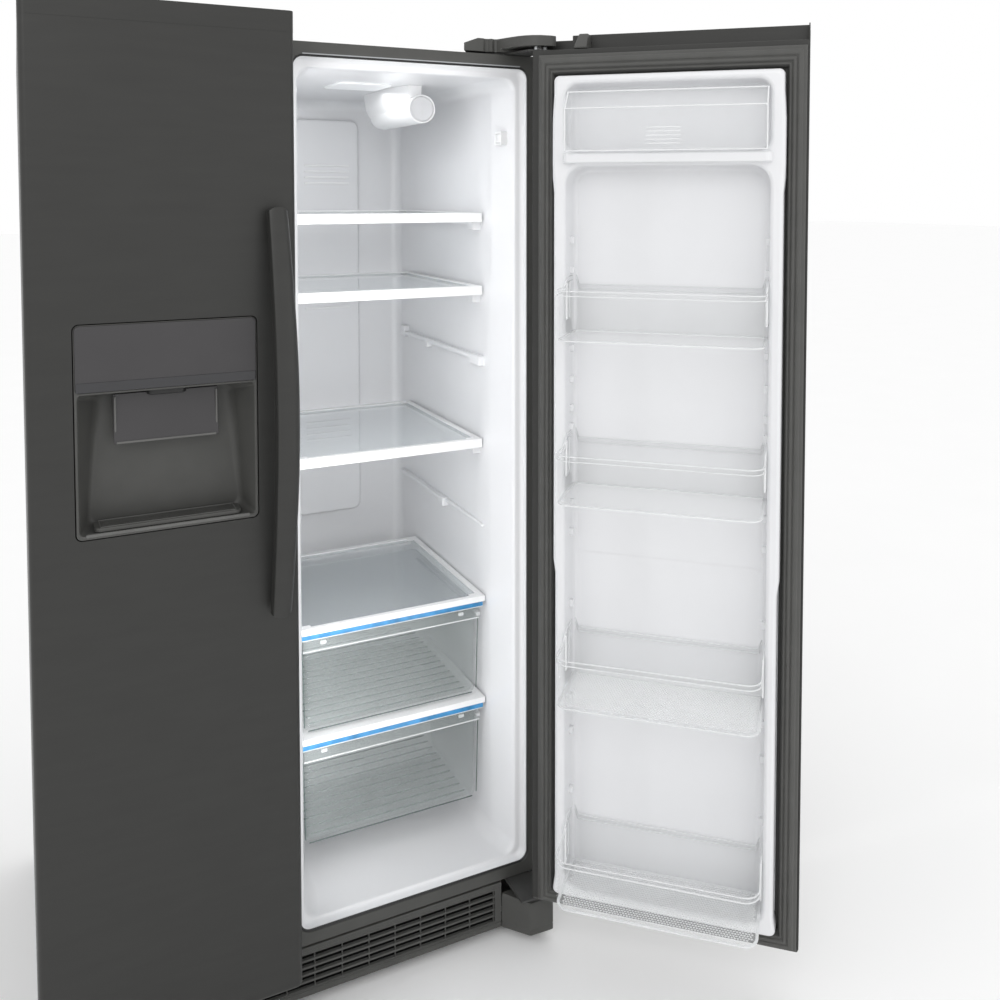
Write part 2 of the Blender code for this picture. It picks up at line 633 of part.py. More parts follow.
def door_liner(span, side, recesses):
    """Moulded plate with a raised dike round each recess; recesses are (low z, high z)."""
    x0, x1 = liner_span(span, side)
    shape = box((x0, x1), (DOOR_BACK + GAP, DOOR_BACK + DIKE_RISE), (DIKE_BASE, DIKE_TOP))
    inset = 0.004
    for low, high in recesses:
        join(shape, box((x0 + inset, x1 - inset), (RECESS_Y - 0.003, DOOR_BACK + 0.001),
                        (low - DIKE_END + inset, high + DIKE_END - inset)))
    for low, high in recesses:
        cut(shape, prism(rounded(x0 + DIKE, low, x1 - DIKE, high, 0.015), "Y", RECESS_Y, 0.05))
    return shape


def liner_pocket(span, side, recesses):
    """The hollow in a door's slab that takes the back of its liner."""
    x0, x1 = liner_span(span, side)
    inset = 0.004 - GAP
    return [box((x0 + inset, x1 - inset), (RECESS_Y - 0.003 - GAP, DOOR_BACK + 0.01),
                (low - DIKE_END + inset, high + DIKE_END - inset)) for low, high in recesses]


def door_gasket(span, side):
    """Magnetic seal round the liner's dike."""
    x0, x1 = liner_span(span, side)
    far = hinge_x(side) - side * 0.0005
    near = (span[0] if side > 0 else span[1]) + side * 0.004
    outer = sorted((near, far))
    band = rounded(outer[0], GASKET_Z[0], outer[1], GASKET_Z[1], 0.004)
    shape = prism(band, "Y", DOOR_BACK + GAP, DOOR_BACK + GASKET_RISE)
    inner = rounded(x0 - 0.002, DIKE_BASE - 0.002, x1 + 0.002, DIKE_TOP + 0.002)
    return cut(shape, prism(inner, "Y", -0.1, 0.1))


def handle(span, side):
    """Bowed flat bar on two short posts."""
    free_edge = span[0] if side > 0 else span[1]
    low, high = HANDLE_Z
    steps = 10
    sections = []
    for k in range(steps + 1):
        share = k / steps
        bow = math.sin(math.pi * share)
        inner = free_edge + side * (HANDLE_OFFSET - 0.010 * bow)
        width = 0.036 + 0.006 * bow
        outer = inner + side * width
        y = -0.110 - 0.036 * bow
        points = rounded(min(inner, outer), y - 0.011, max(inner, outer), y + 0.004, 0.005, 2)
        sections.append((points, low + share * (high - low)))
    shape = loft(sections, "Z")
    post = sorted((free_edge + side * (HANDLE_OFFSET + 0.006), free_edge + side * (HANDLE_OFFSET + 0.030)))
    for z in (low + 0.004, high - 0.044):
        join(shape, box(post, (-0.114, DOOR_FRONT - GAP), (z, z + 0.040)))
    return shape


def door_bin(x, base, front):
    """Clear bin between the dikes: square at the liner, round corners at the front, narrower base."""
    def ring(inset):
        return rounded(x[0] + inset, RECESS_Y + 0.0008 + inset, x[1] - inset, front - inset,
                       BIN_ROUND - inset, 4, (0, 0, 1, 1))
    top = base + BIN_HEIGHT
    shape = loft([(ring(0.004), base), (ring(0.0015), base + 0.010), (ring(0.0), top)], "Z")
    wall = BIN_WALL
    return cut(shape, loft([(ring(wall + 0.004), base + wall), (ring(wall + 0.0015), base + wall + 0.010),
                            (ring(wall), top + 0.01)], "Z"))


def fridge_door():
    side, span = 1, FRIDGE_DOOR_X
    add_body("fridge_door", (hinge_x(side), HINGE_Y, 0.0), turn_z=DOOR_OPEN_DEG)
    recesses = [(DIKE_BASE + DIKE_END, DAIRY_LEDGE[0]), (DAIRY_LEDGE[1], DIKE_TOP - DIKE_END)]
    shell = cut(door_shell(span, side), *liner_pocket(span, side, recesses))
    part("fridge_door_shell", shell, DARK_STEEL, "fridge_door")
    x0, x1 = liner_span(span, side)
    liner = door_liner(span, side, recesses)
    ledge = rounded(x0 + DIKE - 0.001, 0.0, x1 - DIKE + 0.001, 0.028, 0.012, 3, (0, 0, 1, 1))
    join(liner, prism(ledge, "Z", DAIRY_LEDGE[0] + 0.004, DAIRY_LEDGE[1] - 0.0005))
    part("fridge_door_liner", liner, WHITE_LINER, "fridge_door")
    part("fridge_door_gasket", door_gasket(span, side), DARK_TRIM, "fridge_door")
    part("fridge_door_handle", handle(span, side), DARK_STEEL, "fridge_door", smooth=True)
    bin_x = (x0 + DIKE + 0.0005, x1 - DIKE - 0.0005)
    for k, base in enumerate(BIN_BASES):
        part("door_bin_%d" % (k + 1), door_bin(bin_x, base, BIN_FRONT), CLEAR, "fridge_door")
    dairy_cover((x0 + DIKE + 0.003, x1 - DIKE - 0.003))


def dairy_cover(x):
    """Bent clear flap with end cheeks, hung from its top edge."""
    y, z = 0.010, 1.660
    add_body("dairy_cover", (0.5 * (x[0] + x[1]), y, z), parent="fridge_door")
    low = DAIRY_LEDGE[1] + 0.002
    wall = 0.0025
    profile = [(y - 0.003, z - 0.001), (y + 0.002, z + 0.002), (0.036, 1.630), (0.038, low),
               (0.038 - wall, low), (0.036 - wall, 1.629)]
    flap = prism(profile, "X", x[0], x[1])
    cheek = [(y - 0.002, z - 0.0005), (y + 0.001, z + 0.0005), (0.035, 1.6285), (0.037, low + 0.001),
             (0.002, low + 0.006), (-0.004, 1.600)]
    for start in (x[0] + 0.0005, x[1] - wall - 0.0005):
        join(flap, prism(cheek, "X", start, start + wall))
    part("dairy_cover", flap, CLEAR, "dairy_cover")


def freezer_door():
    side, span = -1, FREEZER_DOOR_X
    add_body("freezer_door", (hinge_x(side), HINGE_Y, 0.0))
    recesses = [(DIKE_BASE + DIKE_END, 0.890), (1.340, DIKE_TOP - DIKE_END)]
    shell = cut(door_shell(span, side), *liner_pocket(span, side, recesses))
    (x0, x1), (z0, z1) = DISPENSER_X, DISPENSER_Z
    opening = rounded(x0, z0, x1, z1, 0.008)
    cut(shell, prism(opening, "Y", DOOR_FRONT - 0.01, DISPENSER_BACK + GAP))
    part("freezer_door_shell", shell, DARK_STEEL, "freezer_door")
    part("freezer_door_liner", door_liner(span, side, recesses), WHITE_LINER, "freezer_door")
    part("freezer_door_gasket", door_gasket(span, side), DARK_TRIM, "freezer_door")
    part("freezer_door_handle", handle(span, side), DARK_STEEL, "freezer_door", smooth=True)
    left, right = liner_span(span, side)
    bin_x = (left + DIKE + 0.0005, right - DIKE - 0.0005)
    part("freezer_door_bin", door_bin(bin_x, 0.560, FREEZER_BIN_FRONT), CLEAR, "freezer_door")
    dispenser()


def dispenser():
    """Ice and water recess: housing, control panel, drip tray and paddle."""
    (x0, x1), (z0, z1) = DISPENSER_X, DISPENSER_Z
    front = DOOR_FRONT - 0.0015
    rim, recess_top, recess_base = 0.010, 1.169, 0.965
    outer = rounded(x0 + GAP, z0 + GAP, x1 - GAP, z1 - GAP, 0.008)
    housing = prism(outer, "Y", front, DISPENSER_BACK)
    mouth = rounded(x0 + rim, recess_base, x1 - rim, recess_top, 0.010)
    deep = rounded(x0 + 0.022, recess_base + 0.002, x1 - 0.022, recess_top - 0.004, 0.012)
    hollow = [(mouth, front - 0.005), (mouth, front + 0.001), (deep, DISPENSER_BACK - 0.004)]
    cut(housing, loft(hollow, "Y"))
    panel = rounded(x0 + 0.003, recess_top + 0.003, x1 - 0.003, z1 - 0.003, 0.006)
    cut(housing, prism(panel, "Y", front - 0.01, front + 0.0093))
    part("dispenser_housing", housing, DARK_TRIM, "freezer_door")
    plate = rounded(x0 + 0.0035, recess_top + 0.0035, x1 - 0.0035, z1 - 0.0035, 0.006)
    part("control_panel", prism(plate, "Y", front - 0.001, front + 0.009), BLACK, "freezer_door")
    mid = 0.5 * (x0 + x1)
    sill = rounded(mid - 0.112, front + 0.004, mid + 0.112, -0.048, 0.010)
    tray_shape = prism(sill, "Z", recess_base + 0.0025, recess_base + 0.008)
    dip = rounded(mid - 0.100, front + 0.012, mid + 0.100, -0.056, 0.008)
    cut(tray_shape, prism(dip, "Z", recess_base + 0.005, recess_base + 0.02))
    part("drip_tray", tray_shape, DARK_TRIM, "freezer_door")
    add_body("dispenser_paddle", (mid, -0.060, 1.158), parent="freezer_door")
    face = [(-0.0625, 1.162), (-0.0575, 1.162), (-0.0575, 1.130), (-0.0640, 1.084), (-0.0680, 1.084),
            (-0.0625, 1.130)]
    part("dispenser_paddle", prism(face, "X", mid - 0.080, mid + 0.080), BLACK, "dispenser_paddle")


# --- build -------------------------------------------------------------------------------
root = bpy.data.objects.new("cabinet_frame", None)
bpy.context.collection.objects.link(root)

outer_case()
front_frame()
foam_insulation()
fridge_liner()
freezer_liner()
back_panel()
machine_cover()
base_chassis()
toe_grille()
foot_covers()
legs_and_rollers()
top_hinges()
bottom_hinges()
compressor()
condenser_fan()
shelves()
crisper_covers()
crisper_drawers()
water_filter()
door_switch()
freezer_fittings()
fridge_door()
freezer_door()

for joint_empty, joint_pivot in bodies.values():
    if joint_empty.parent is None:
        joint_empty.parent = root

# Move the assembly so that the middle of its footprint, on the floor, is the origin.
bpy.context.view_layer.update()
solids = [obj for obj in bpy.data.objects if obj.type == "MESH"]
corners = [obj.matrix_world @ vert.co for obj in solids for vert in obj.data.vertices]
lowest = Vector([min(c[i] for c in corners) for i in range(3)])
highest = Vector([max(c[i] for c in corners) for i in range(3)])
root.location = (-0.5 * (lowest.x + highest.x), -0.5 * (lowest.y + highest.y), -lowest.z)
bpy.context.view_layer.update()
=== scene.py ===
"""Looks, camera and light of the side by side refrigerator.

Cabinet coordinates: X to the right, Y towards the back, Z up, in metres, with
the case front at y = 0. hang() carries a finished piece into the shared frame.
Door pieces are modelled with the door closed, and hang() swings the fridge door's pieces open.
"""

import json
import math

import bmesh
import bpy
from mathutils import Matrix, Vector


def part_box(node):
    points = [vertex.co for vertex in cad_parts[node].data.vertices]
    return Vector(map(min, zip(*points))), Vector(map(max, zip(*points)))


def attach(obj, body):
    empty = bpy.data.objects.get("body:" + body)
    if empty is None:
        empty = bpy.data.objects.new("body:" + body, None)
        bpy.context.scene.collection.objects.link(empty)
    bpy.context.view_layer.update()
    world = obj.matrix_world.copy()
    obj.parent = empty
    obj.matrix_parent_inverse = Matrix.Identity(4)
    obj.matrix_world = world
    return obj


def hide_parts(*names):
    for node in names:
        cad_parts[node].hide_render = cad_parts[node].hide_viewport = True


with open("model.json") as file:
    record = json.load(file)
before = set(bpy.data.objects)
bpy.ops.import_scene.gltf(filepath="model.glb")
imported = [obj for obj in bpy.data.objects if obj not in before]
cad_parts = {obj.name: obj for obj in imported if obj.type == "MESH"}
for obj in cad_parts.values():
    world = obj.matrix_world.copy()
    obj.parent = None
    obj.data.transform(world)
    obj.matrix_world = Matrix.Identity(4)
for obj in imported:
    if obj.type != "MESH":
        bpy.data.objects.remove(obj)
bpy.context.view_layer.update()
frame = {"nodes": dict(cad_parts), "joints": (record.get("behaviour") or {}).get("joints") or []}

# --- dimensions shared with the CAD ---
CASE_HALF, CASE_TOP, CASE_BACK = 0.454, 1.743, 0.69
FRAME_BASE, FRAME_THICK = 0.1145, 0.004
OPENING_BASE, OPENING_TOP = 0.141, 1.717
FRIDGE_X, FREEZER_X = (-0.024, 0.433), (-0.433, -0.074)
WALL_IN, MULLION_IN = 0.035, 0.026         # opening to deep wall; the same on the fridge's mullion side
LINER_FLOOR, LINER_CEILING = 0.148, 1.7
HUMP_FRONT, HUMP_SLANT, HUMP_TOP = 0.43, 0.03, 0.352
DOOR_BASE, DOOR_STEP, DOOR_TOP = 0.1175, 1.742, 1.777
DOOR_FRONT, DOOR_BACK = -0.092, -0.022
FRIDGE_DOOR_X, FREEZER_DOOR_X = (-0.042, 0.454), (-0.454, -0.045)
HINGE_X, HINGE_Y = 0.44, -0.058
LINER_EDGE, LINER_HINGE_EDGE = 0.038, 0.047
DIKE, DIKE_END, DIKE_BASE, DIKE_TOP, DIKE_CREST = 0.025, 0.018, 0.157, 1.693, 0.013
RECESS_Y = -0.0467
SHELF_TOPS = (1.438, 1.288, 0.971)
SHELF_X, SHELF_Y = (0.004, 0.394), (0.128, 0.56)
COVER_TOPS = (0.645, 0.43)
DRAWERS = ((0.4365, 0.622, 0.5), (0.214, 0.406, 0.42))
DRAWER_X, DRAWER_FRONT = (0.0135, 0.3845), 0.13
RAIL_TOPS = (1.141, 0.791)
BIN_BASES = (1.219, 0.929, 0.564, 0.197)
BIN_HEIGHT, BIN_FRONT, FREEZER_BIN_FRONT = 0.089, 0.103, 0.085
DAIRY_LEDGE = (1.527, 1.55)
DISPENSER_X, DISPENSER_Z, DISPENSER_BACK = (-0.388, -0.112), (0.945, 1.277), -0.037
HANDLE_Z = (0.78, 1.454)
FILTER = (0.29, 1.651, 0.027)
OPENING_ROUND = 0.018                      # corner radius of the two openings
GLASS_TRIM = 0.012                         # width of the frame round a shelf's glass

case_low, case_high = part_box("outer_case")
SHIFT = Vector((0.5 * (case_low.x + case_high.x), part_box("front_frame")[0].y, 0.0))
hinge_joint = [j for j in frame["joints"] if j["name"] == "fridge_door_hinge"][0]
DOOR_OPEN = math.radians(-hinge_joint["range_deg"][0])
ON_FRIDGE_DOOR = ("fridge_door", "dairy_cover")


# --- materials ---
def finish(name, colour, roughness, metallic=0.0, alpha=1.0, grain=60.0, vary=0.06, bump=0.0,
           bump_scale=400.0, stretch=(1.0, 1.0, 1.0), coat=0.0, ior=1.5):
    """A Principled material whose colour drifts a little, with a fine surface texture."""
    mat = bpy.data.materials.new(name + "_finish")
    mat.use_nodes = True
    nodes, links = mat.node_tree.nodes, mat.node_tree.links
    shader = nodes["Principled BSDF"]
    coords = nodes.new("ShaderNodeTexCoord")
    mapping = nodes.new("ShaderNodeMapping")
    mapping.inputs["Scale"].default_value = stretch
    links.new(coords.outputs["Object"], mapping.inputs["Vector"])
    drift = nodes.new("ShaderNodeTexNoise")
    drift.inputs["Scale"].default_value = grain
    drift.inputs["Detail"].default_value = 3.0
    links.new(mapping.outputs["Vector"], drift.inputs["Vector"])
    ramp = nodes.new("ShaderNodeValToRGB")
    ramp.color_ramp.elements[0].position = 0.3
    ramp.color_ramp.elements[1].position = 0.7
    ramp.color_ramp.elements[0].color = (*[c * (1.0 - vary) for c in colour], 1.0)
    ramp.color_ramp.elements[1].color = (*[min(c * (1.0 + vary), 1.0) for c in colour], 1.0)
    links.new(drift.outputs["Fac"], ramp.inputs["Fac"])
    links.new(ramp.outputs["Color"], shader.inputs["Base Color"])
    shader.inputs["Roughness"].default_value = roughness
    shader.inputs["Metallic"].default_value = metallic
    shader.inputs["Alpha"].default_value = alpha
    shader.inputs["Coat Weight"].default_value = coat
    shader.inputs["Coat Roughness"].default_value = 0.08
    shader.inputs["IOR"].default_value = ior
    if bump > 0.0:
        fine = nodes.new("ShaderNodeTexNoise")
        fine.inputs["Scale"].default_value = bump_scale
        fine.inputs["Detail"].default_value = 2.0
        links.new(mapping.outputs["Vector"], fine.inputs["Vector"])
        relief = nodes.new("ShaderNodeBump")
        relief.inputs["Strength"].default_value = bump
        relief.inputs["Distance"].default_value = 0.0004
        links.new(fine.outputs["Fac"], relief.inputs["Height"])
        links.new(relief.outputs["Normal"], shader.inputs["Normal"])
    return mat


STEEL = finish("steel", (0.034, 0.034, 0.032), 0.42, 0.35, grain=9.0, vary=0.05, bump=0.04,
                        bump_scale=260.0, stretch=(1.0, 1.0, 6.0))
PLATE = finish("plate", (0.05, 0.05, 0.048), 0.45, 0.3, grain=40.0, vary=0.08, bump=0.06, bump_scale=500.0)
EDGE = finish("edge", (0.34, 0.35, 0.36), 0.35, grain=40.0, vary=0.03, bump=0.04)
TRIM = finish("trim", (0.06, 0.06, 0.056), 0.52, grain=25.0, bump=0.1, bump_scale=900.0)
FASCIA = finish("fascia", (0.034, 0.032, 0.034), 0.42, grain=15.0, coat=0.2)
# the dark trim made lighter for the lit edges and rim lines of the dispenser: painted highlight
RIM_HIGHLIGHT = finish("rim", (0.105, 0.105, 0.1), 0.38, grain=25.0, bump=0.08, bump_scale=900.0, coat=0.2)
RUBBER = finish("rubber", (0.074, 0.074, 0.07), 0.62, grain=30.0, bump=0.08, bump_scale=700.0)
BLACK = finish("black", (0.012, 0.012, 0.012), 0.45, grain=40.0, bump=0.12, bump_scale=800.0)
# near-black, dull finish: painted shade for the dark gaps of the kick grille
PAINTED_SHADE = finish("painted_shade", (0.003, 0.003, 0.003), 0.9, grain=40.0)
PAINTED_SHADE.node_tree.nodes["Principled BSDF"].inputs["Specular IOR Level"].default_value = 0.05
PANEL = finish("panel", (0.02, 0.02, 0.023), 0.34, grain=15.0, coat=0.4)
ENAMEL = finish("enamel", (0.014, 0.014, 0.015), 0.25, grain=18.0, bump=0.15, bump_scale=90.0, coat=0.5)
LINER = finish("liner", (0.77, 0.775, 0.79), 0.28, grain=5.0, vary=0.012, bump=0.05, bump_scale=35.0,
                        coat=0.25)
WHITE = finish("white", (0.84, 0.845, 0.85), 0.32, grain=20.0, vary=0.01, bump=0.05, bump_scale=500.0)
CAP = finish("cap", (0.66, 0.665, 0.68), 0.4, grain=20.0, vary=0.01, bump=0.05, bump_scale=500.0)
CLEAR = finish("clear", (0.88, 0.9, 0.91), 0.06, alpha=0.08, grain=12.0, vary=0.02, ior=1.49)
# nearly opaque white for the bright edges and lines of the clear plastic: painted highlights
CLEAR_HIGHLIGHT = finish("clear_painted_highlight", (0.95, 0.96, 0.97), 0.1, alpha=0.72, grain=12.0, vary=0.02)
TINTED = finish("tinted", (0.62, 0.68, 0.68), 0.06, alpha=0.12, grain=10.0, vary=0.05, ior=1.49)
TINTED_RIB = finish("tinted_rib", (0.24, 0.3, 0.28), 0.25, alpha=0.5, grain=10.0, vary=0.06)
TINTED_EDGE = finish("tinted_edge", (0.1, 0.14, 0.13), 0.2, alpha=0.85, grain=10.0, vary=0.06)
GLASS = finish("glass", (0.7, 0.76, 0.79), 0.04, alpha=0.26, grain=6.0, vary=0.04)
BLUE = finish("blue_strip", (0.06, 0.26, 0.52), 0.15, alpha=0.88, grain=45.0, vary=0.3)
ZINC = finish("zinc", (0.46, 0.47, 0.48), 0.38, 0.9, grain=70.0, vary=0.08, bump=0.05)
FOAM = finish("foam", (0.78, 0.69, 0.45), 0.9, grain=120.0, vary=0.12, bump=0.5, bump_scale=300.0)
LENS = finish("lens", (0.95, 0.96, 0.97), 0.35, grain=80.0, vary=0.02, bump=0.3, bump_scale=220.0)


# --- shape helpers ---
def new_shape(bm):
    bmesh.ops.recalc_face_normals(bm, faces=bm.faces)
    mesh = bpy.data.meshes.new("shape")
    bm.to_mesh(mesh)
    bm.free()
    shape = bpy.data.objects.new("shape", mesh)
    bpy.context.scene.collection.objects.link(shape)
    return shape


def skin(rings, closed=False):
    """A surface through rings of 3D points; closed joins the last ring to the first."""
    bm = bmesh.new()
    made = [[bm.verts.new(p) for p in ring] for ring in rings]
    count = len(made[0])
    pairs = list(zip(made, made[1:]))
    if closed:
        pairs.append((made[-1], made[0]))
    for low, high in pairs:
        for i in range(count):
            j = (i + 1) % count
            bm.faces.new((low[i], low[j], high[j], high[i]))
    if not closed:
        bm.faces.new(made[0])
        bm.faces.new(made[-1])
    return new_shape(bm)


def place(axis, u, v, level):
    if axis == "X":
        return (level, u, v)
    if axis == "Y":
        return (u, level, v)
    return (u, v, level)


def loft(sections, axis, closed=False):
    """A solid through flat outlines; sections are (points, level)."""
    return skin([[place(axis, u, v, level) for u, v in points] for points, level in sections], closed)


def prism(points, axis, start, end):
    return loft([(points, start), (points, end)], axis)


def arc(u, v, radius, start, steps=8):
    """A quarter circle's points round (u, v), from the start angle."""
    angles = [math.radians(start + 90 * k / steps) for k in range(steps + 1)]
    return [(u + radius * math.cos(a), v + radius * math.sin(a)) for a in angles]


def rounded(u0, v0, u1, v1, radius=0.0, steps=6, corners=(1, 1, 1, 1)):
    """A rectangle's outline, counter-clockwise from its low corner; some corners rounded."""
    spots = ((u0, v0, 180), (u1, v0, 270), (u1, v1, 0), (u0, v1, 90))
    inward = ((1, 1), (-1, 1), (-1, -1), (1, -1))
    points = []
    for (u, v, start), (du, dv), is_round in zip(spots, inward, corners):
        if is_round and radius > 0:
            points += arc(u + du * radius, v + dv * radius, radius, start, steps)
        else:
            points.append((u, v))
    return points


def nest(u, v, radius, rows, axis, steps=8, follow=1, closed=False, corners=(1, 1, 1, 1)):
    """A solid through rounded rectangles that start at u by v; rows are (inset, level)."""
    return loft([(rounded(u[0] + d, v[0] + d, u[1] - d, v[1] - d, max(radius - follow * d, 0.004), steps,
                          corners), z)
                 for d, z in rows], axis, closed)


def about(middle, reach):
    return middle - reach, middle + reach


def across(edge, side, *steps):
    """The span between two steps inwards from an edge, in rising order."""
    return sorted(edge + side * step for step in steps)


def bowed_outline(x0, x1, z0, z1, radius, bulge, samples=60):
    """Rounded rectangle whose upright sides follow bulge(z), outwards positive."""
    low, high = z0 + radius, z1 - radius
    heights = [low + (high - low) * k / samples for k in range(1, samples)]
    points = arc(x0 + radius, low, radius, 180) + arc(x1 - radius, low, radius, 270)
    points += [(x1 + bulge(z), z) for z in heights]
    points += arc(x1 - radius, high, radius, 0) + arc(x0 + radius, high, radius, 90)
    return points + [(x0 - bulge(z), z) for z in reversed(heights)]


def box(x, y, z):
    return prism(rounded(x[0], y[0], x[1], y[1]), "Z", z[0], z[1])


def circle(u, v, radius, steps=40):
    return [(u + radius * math.cos(math.tau * k / steps), v + radius * math.sin(math.tau * k / steps))
            for k in range(steps)]


def rod(u, v, radius, axis, start, end, steps=24):
    return prism(circle(u, v, radius, steps), axis, start, end)


def bake(shape):
    """Apply a shape's modifiers."""
    bpy.context.view_layer.update()
    result = bpy.data.meshes.new_from_object(shape.evaluated_get(bpy.context.evaluated_depsgraph_get()))
    shape.modifiers.clear()
    shape.data = result
    return shape


def combine(base, tool, operation):
    modifier = base.modifiers.new("combine", "BOOLEAN")
    modifier.operation = operation
    modifier.solver = "EXACT"
    modifier.object = tool
    bake(base)
    bpy.data.objects.remove(tool, do_unlink=True)
    return base


def cut(base, *tools):
    for tool in tools:
        combine(base, tool, "DIFFERENCE")
    return base


def join(base, *tools):
    for tool in tools:
        combine(base, tool, "UNION")
    return base


def bevel(shape, width, segments=3, angle=35):
    """Round the edges that turn by more than the angle."""
    modifier = shape.modifiers.new("bevel", "BEVEL")
    modifier.width = width
    modifier.segments = segments
    modifier.limit_method = "ANGLE"
    modifier.angle_limit = math.radians(angle)
    modifier.use_clamp_overlap = True
    return bake(shape)


def soft_box(x, y, z, width=0.001, segments=2):
    return bevel(box(x, y, z), width, segments)


def gather(shapes):
    """Several shapes in one mesh."""
    bm = bmesh.new()
    for shape in shapes:
        bm.from_mesh(shape.data)
        bpy.data.objects.remove(shape, do_unlink=True)
    mesh = bpy.data.meshes.new("shape")
    bm.to_mesh(mesh)
    bm.free()
    shape = bpy.data.objects.new("shape", mesh)
    bpy.context.scene.collection.objects.link(shape)
    return shape


def smooth(share):
    share = min(max(share, 0.0), 1.0)
    return share * share * (3 - 2 * share)


def to_frame(body):
    """Matrix from cabinet coordinates to the shared frame for pieces on a body."""
    moved = Matrix.Translation(SHIFT)
    if body in ON_FRIDGE_DOOR:
        hinge = Vector((HINGE_X, HINGE_Y, 0.0))
        moved = moved @ Matrix.Translation(hinge) @ Matrix.Rotation(DOOR_OPEN, 4,
                "Z") @ Matrix.Translation(-hinge)
    return moved


def hang(name, shapes, look, body="cabinet", stands_for=(), angle=40):
    """Name a finished piece, give it its finish and let it ride on a body."""
    shape = shapes if isinstance(shapes, bpy.types.Object) else gather(shapes)
    shape.name = name
    shape.data.name = name
    shape.data.materials.clear()
    shape.data.materials.append(look)
    shape.data.transform(to_frame(body))
    shape.data.shade_smooth()
    shape.data.set_sharp_from_angle(angle=math.radians(angle))
    weights = shape.modifiers.new("normals", "WEIGHTED_NORMAL")
    weights.keep_sharp = True
    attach(shape, body)
    if stands_for:
        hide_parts(*stands_for)
    return shape


def paint(node, look, width=0.0, segments=2):
    """Give a CAD piece its finish, and soften its edges if a width is given."""
    obj = frame["nodes"][node]
    for index in range(len(obj.material_slots)):
        obj.material_slots[index].material = look
    if not obj.material_slots:
        obj.data.materials.append(look)
    if width > 0:
        weld = obj.modifiers.new("weld", "WELD")
        weld.merge_threshold = 0.00002
        rounding = obj.modifiers.new("bevel", "BEVEL")
        rounding.width = width
        rounding.segments = segments
        rounding.limit_method = "ANGLE"
        rounding.angle_limit = math.radians(40)
        rounding.harden_normals = False


def mirrored(points):
    return [(-u, v) for u, v in reversed(points)]


# --- case and front frame ---
def case_front():
    w = CASE_HALF
    plate = prism(rounded(-w, FRAME_BASE, w, CASE_TOP, 0.006, 6, (0, 0, 1, 1)), "Y", 0.0, FRAME_THICK)
    strips = []
    for opening in (FRIDGE_X, FREEZER_X):
        hole = rounded(opening[0] - 0.0035, OPENING_BASE - 0.0035, opening[1] + 0.0035,
                       OPENING_TOP + 0.0035, 0.0215, 8)
        cut(plate, prism(hole, "Y", -0.01, 0.02))
        strips.append(nest(opening, (OPENING_BASE, OPENING_TOP), OPENING_ROUND, (
            (-0.0034, 0.004), (-0.0034, 0.0012), (-0.0026, 0.0008), (-0.0002, 0.0028), (-0.0002, 0.004)),
            "Y", closed=True))
    hang("front_flange", bevel(plate, 0.0012, 2), TRIM, "cabinet", ("front_frame",))
    hang("breaker_strip", strips, BLACK)
    lines = [soft_box((opening[0] + 0.016, opening[1] - 0.016), (-0.0002, 0.0012),
                      (OPENING_TOP + 0.0038, OPENING_TOP + 0.006), 0.0004)
             for opening in (FRIDGE_X, FREEZER_X)]
    hang("breaker_strip_line", lines, EDGE)
    seam = []
    for x in (-w + 0.012, w - 0.012):
        seam.append(soft_box(about(x, 0.0006), (0.02, CASE_BACK - 0.02),
                             (CASE_TOP - 0.0006, CASE_TOP + 0.0004), 0.0003))
    hang("case_top_creases", seam, STEEL)
    paint("outer_case", STEEL)


# --- liners ---
SIDE_SAMPLES = 36
FULL_STEP = 0.019                          # inset at which the mullion side has stepped fully


def liner_ring(opening, y, share, grow):
    """A liner's upright outline at depth y; share is (side inset, floor, ceiling, corner radius)."""
    wide, floor, ceiling, radius = share
    slim = (WALL_IN - MULLION_IN) * min(wide / FULL_STEP, 1.0) if opening == FRIDGE_X else 0.0
    outline = bowed_outline(opening[0] + wide - slim - grow, opening[1] - wide + grow, floor - grow,
                            ceiling + grow, radius, lambda z: wall_relief(y, z), SIDE_SAMPLES)
    return [(u, y, v) for u, v in outline]


def wall_relief(y, z):
    """Shallow moulded field on the side walls: its front border curves back towards the floor."""
    if y < 0.06 or y > 0.6:
        return 0.0
    border = 0.095 + 0.085 * smooth((1.45 - z) / 0.75)
    field = smooth((y - border) / 0.01) * smooth((0.59 - y) / 0.01)
    return 0.0022 * field * smooth((z - 0.7) / 0.03) * smooth((1.66 - z) / 0.03)


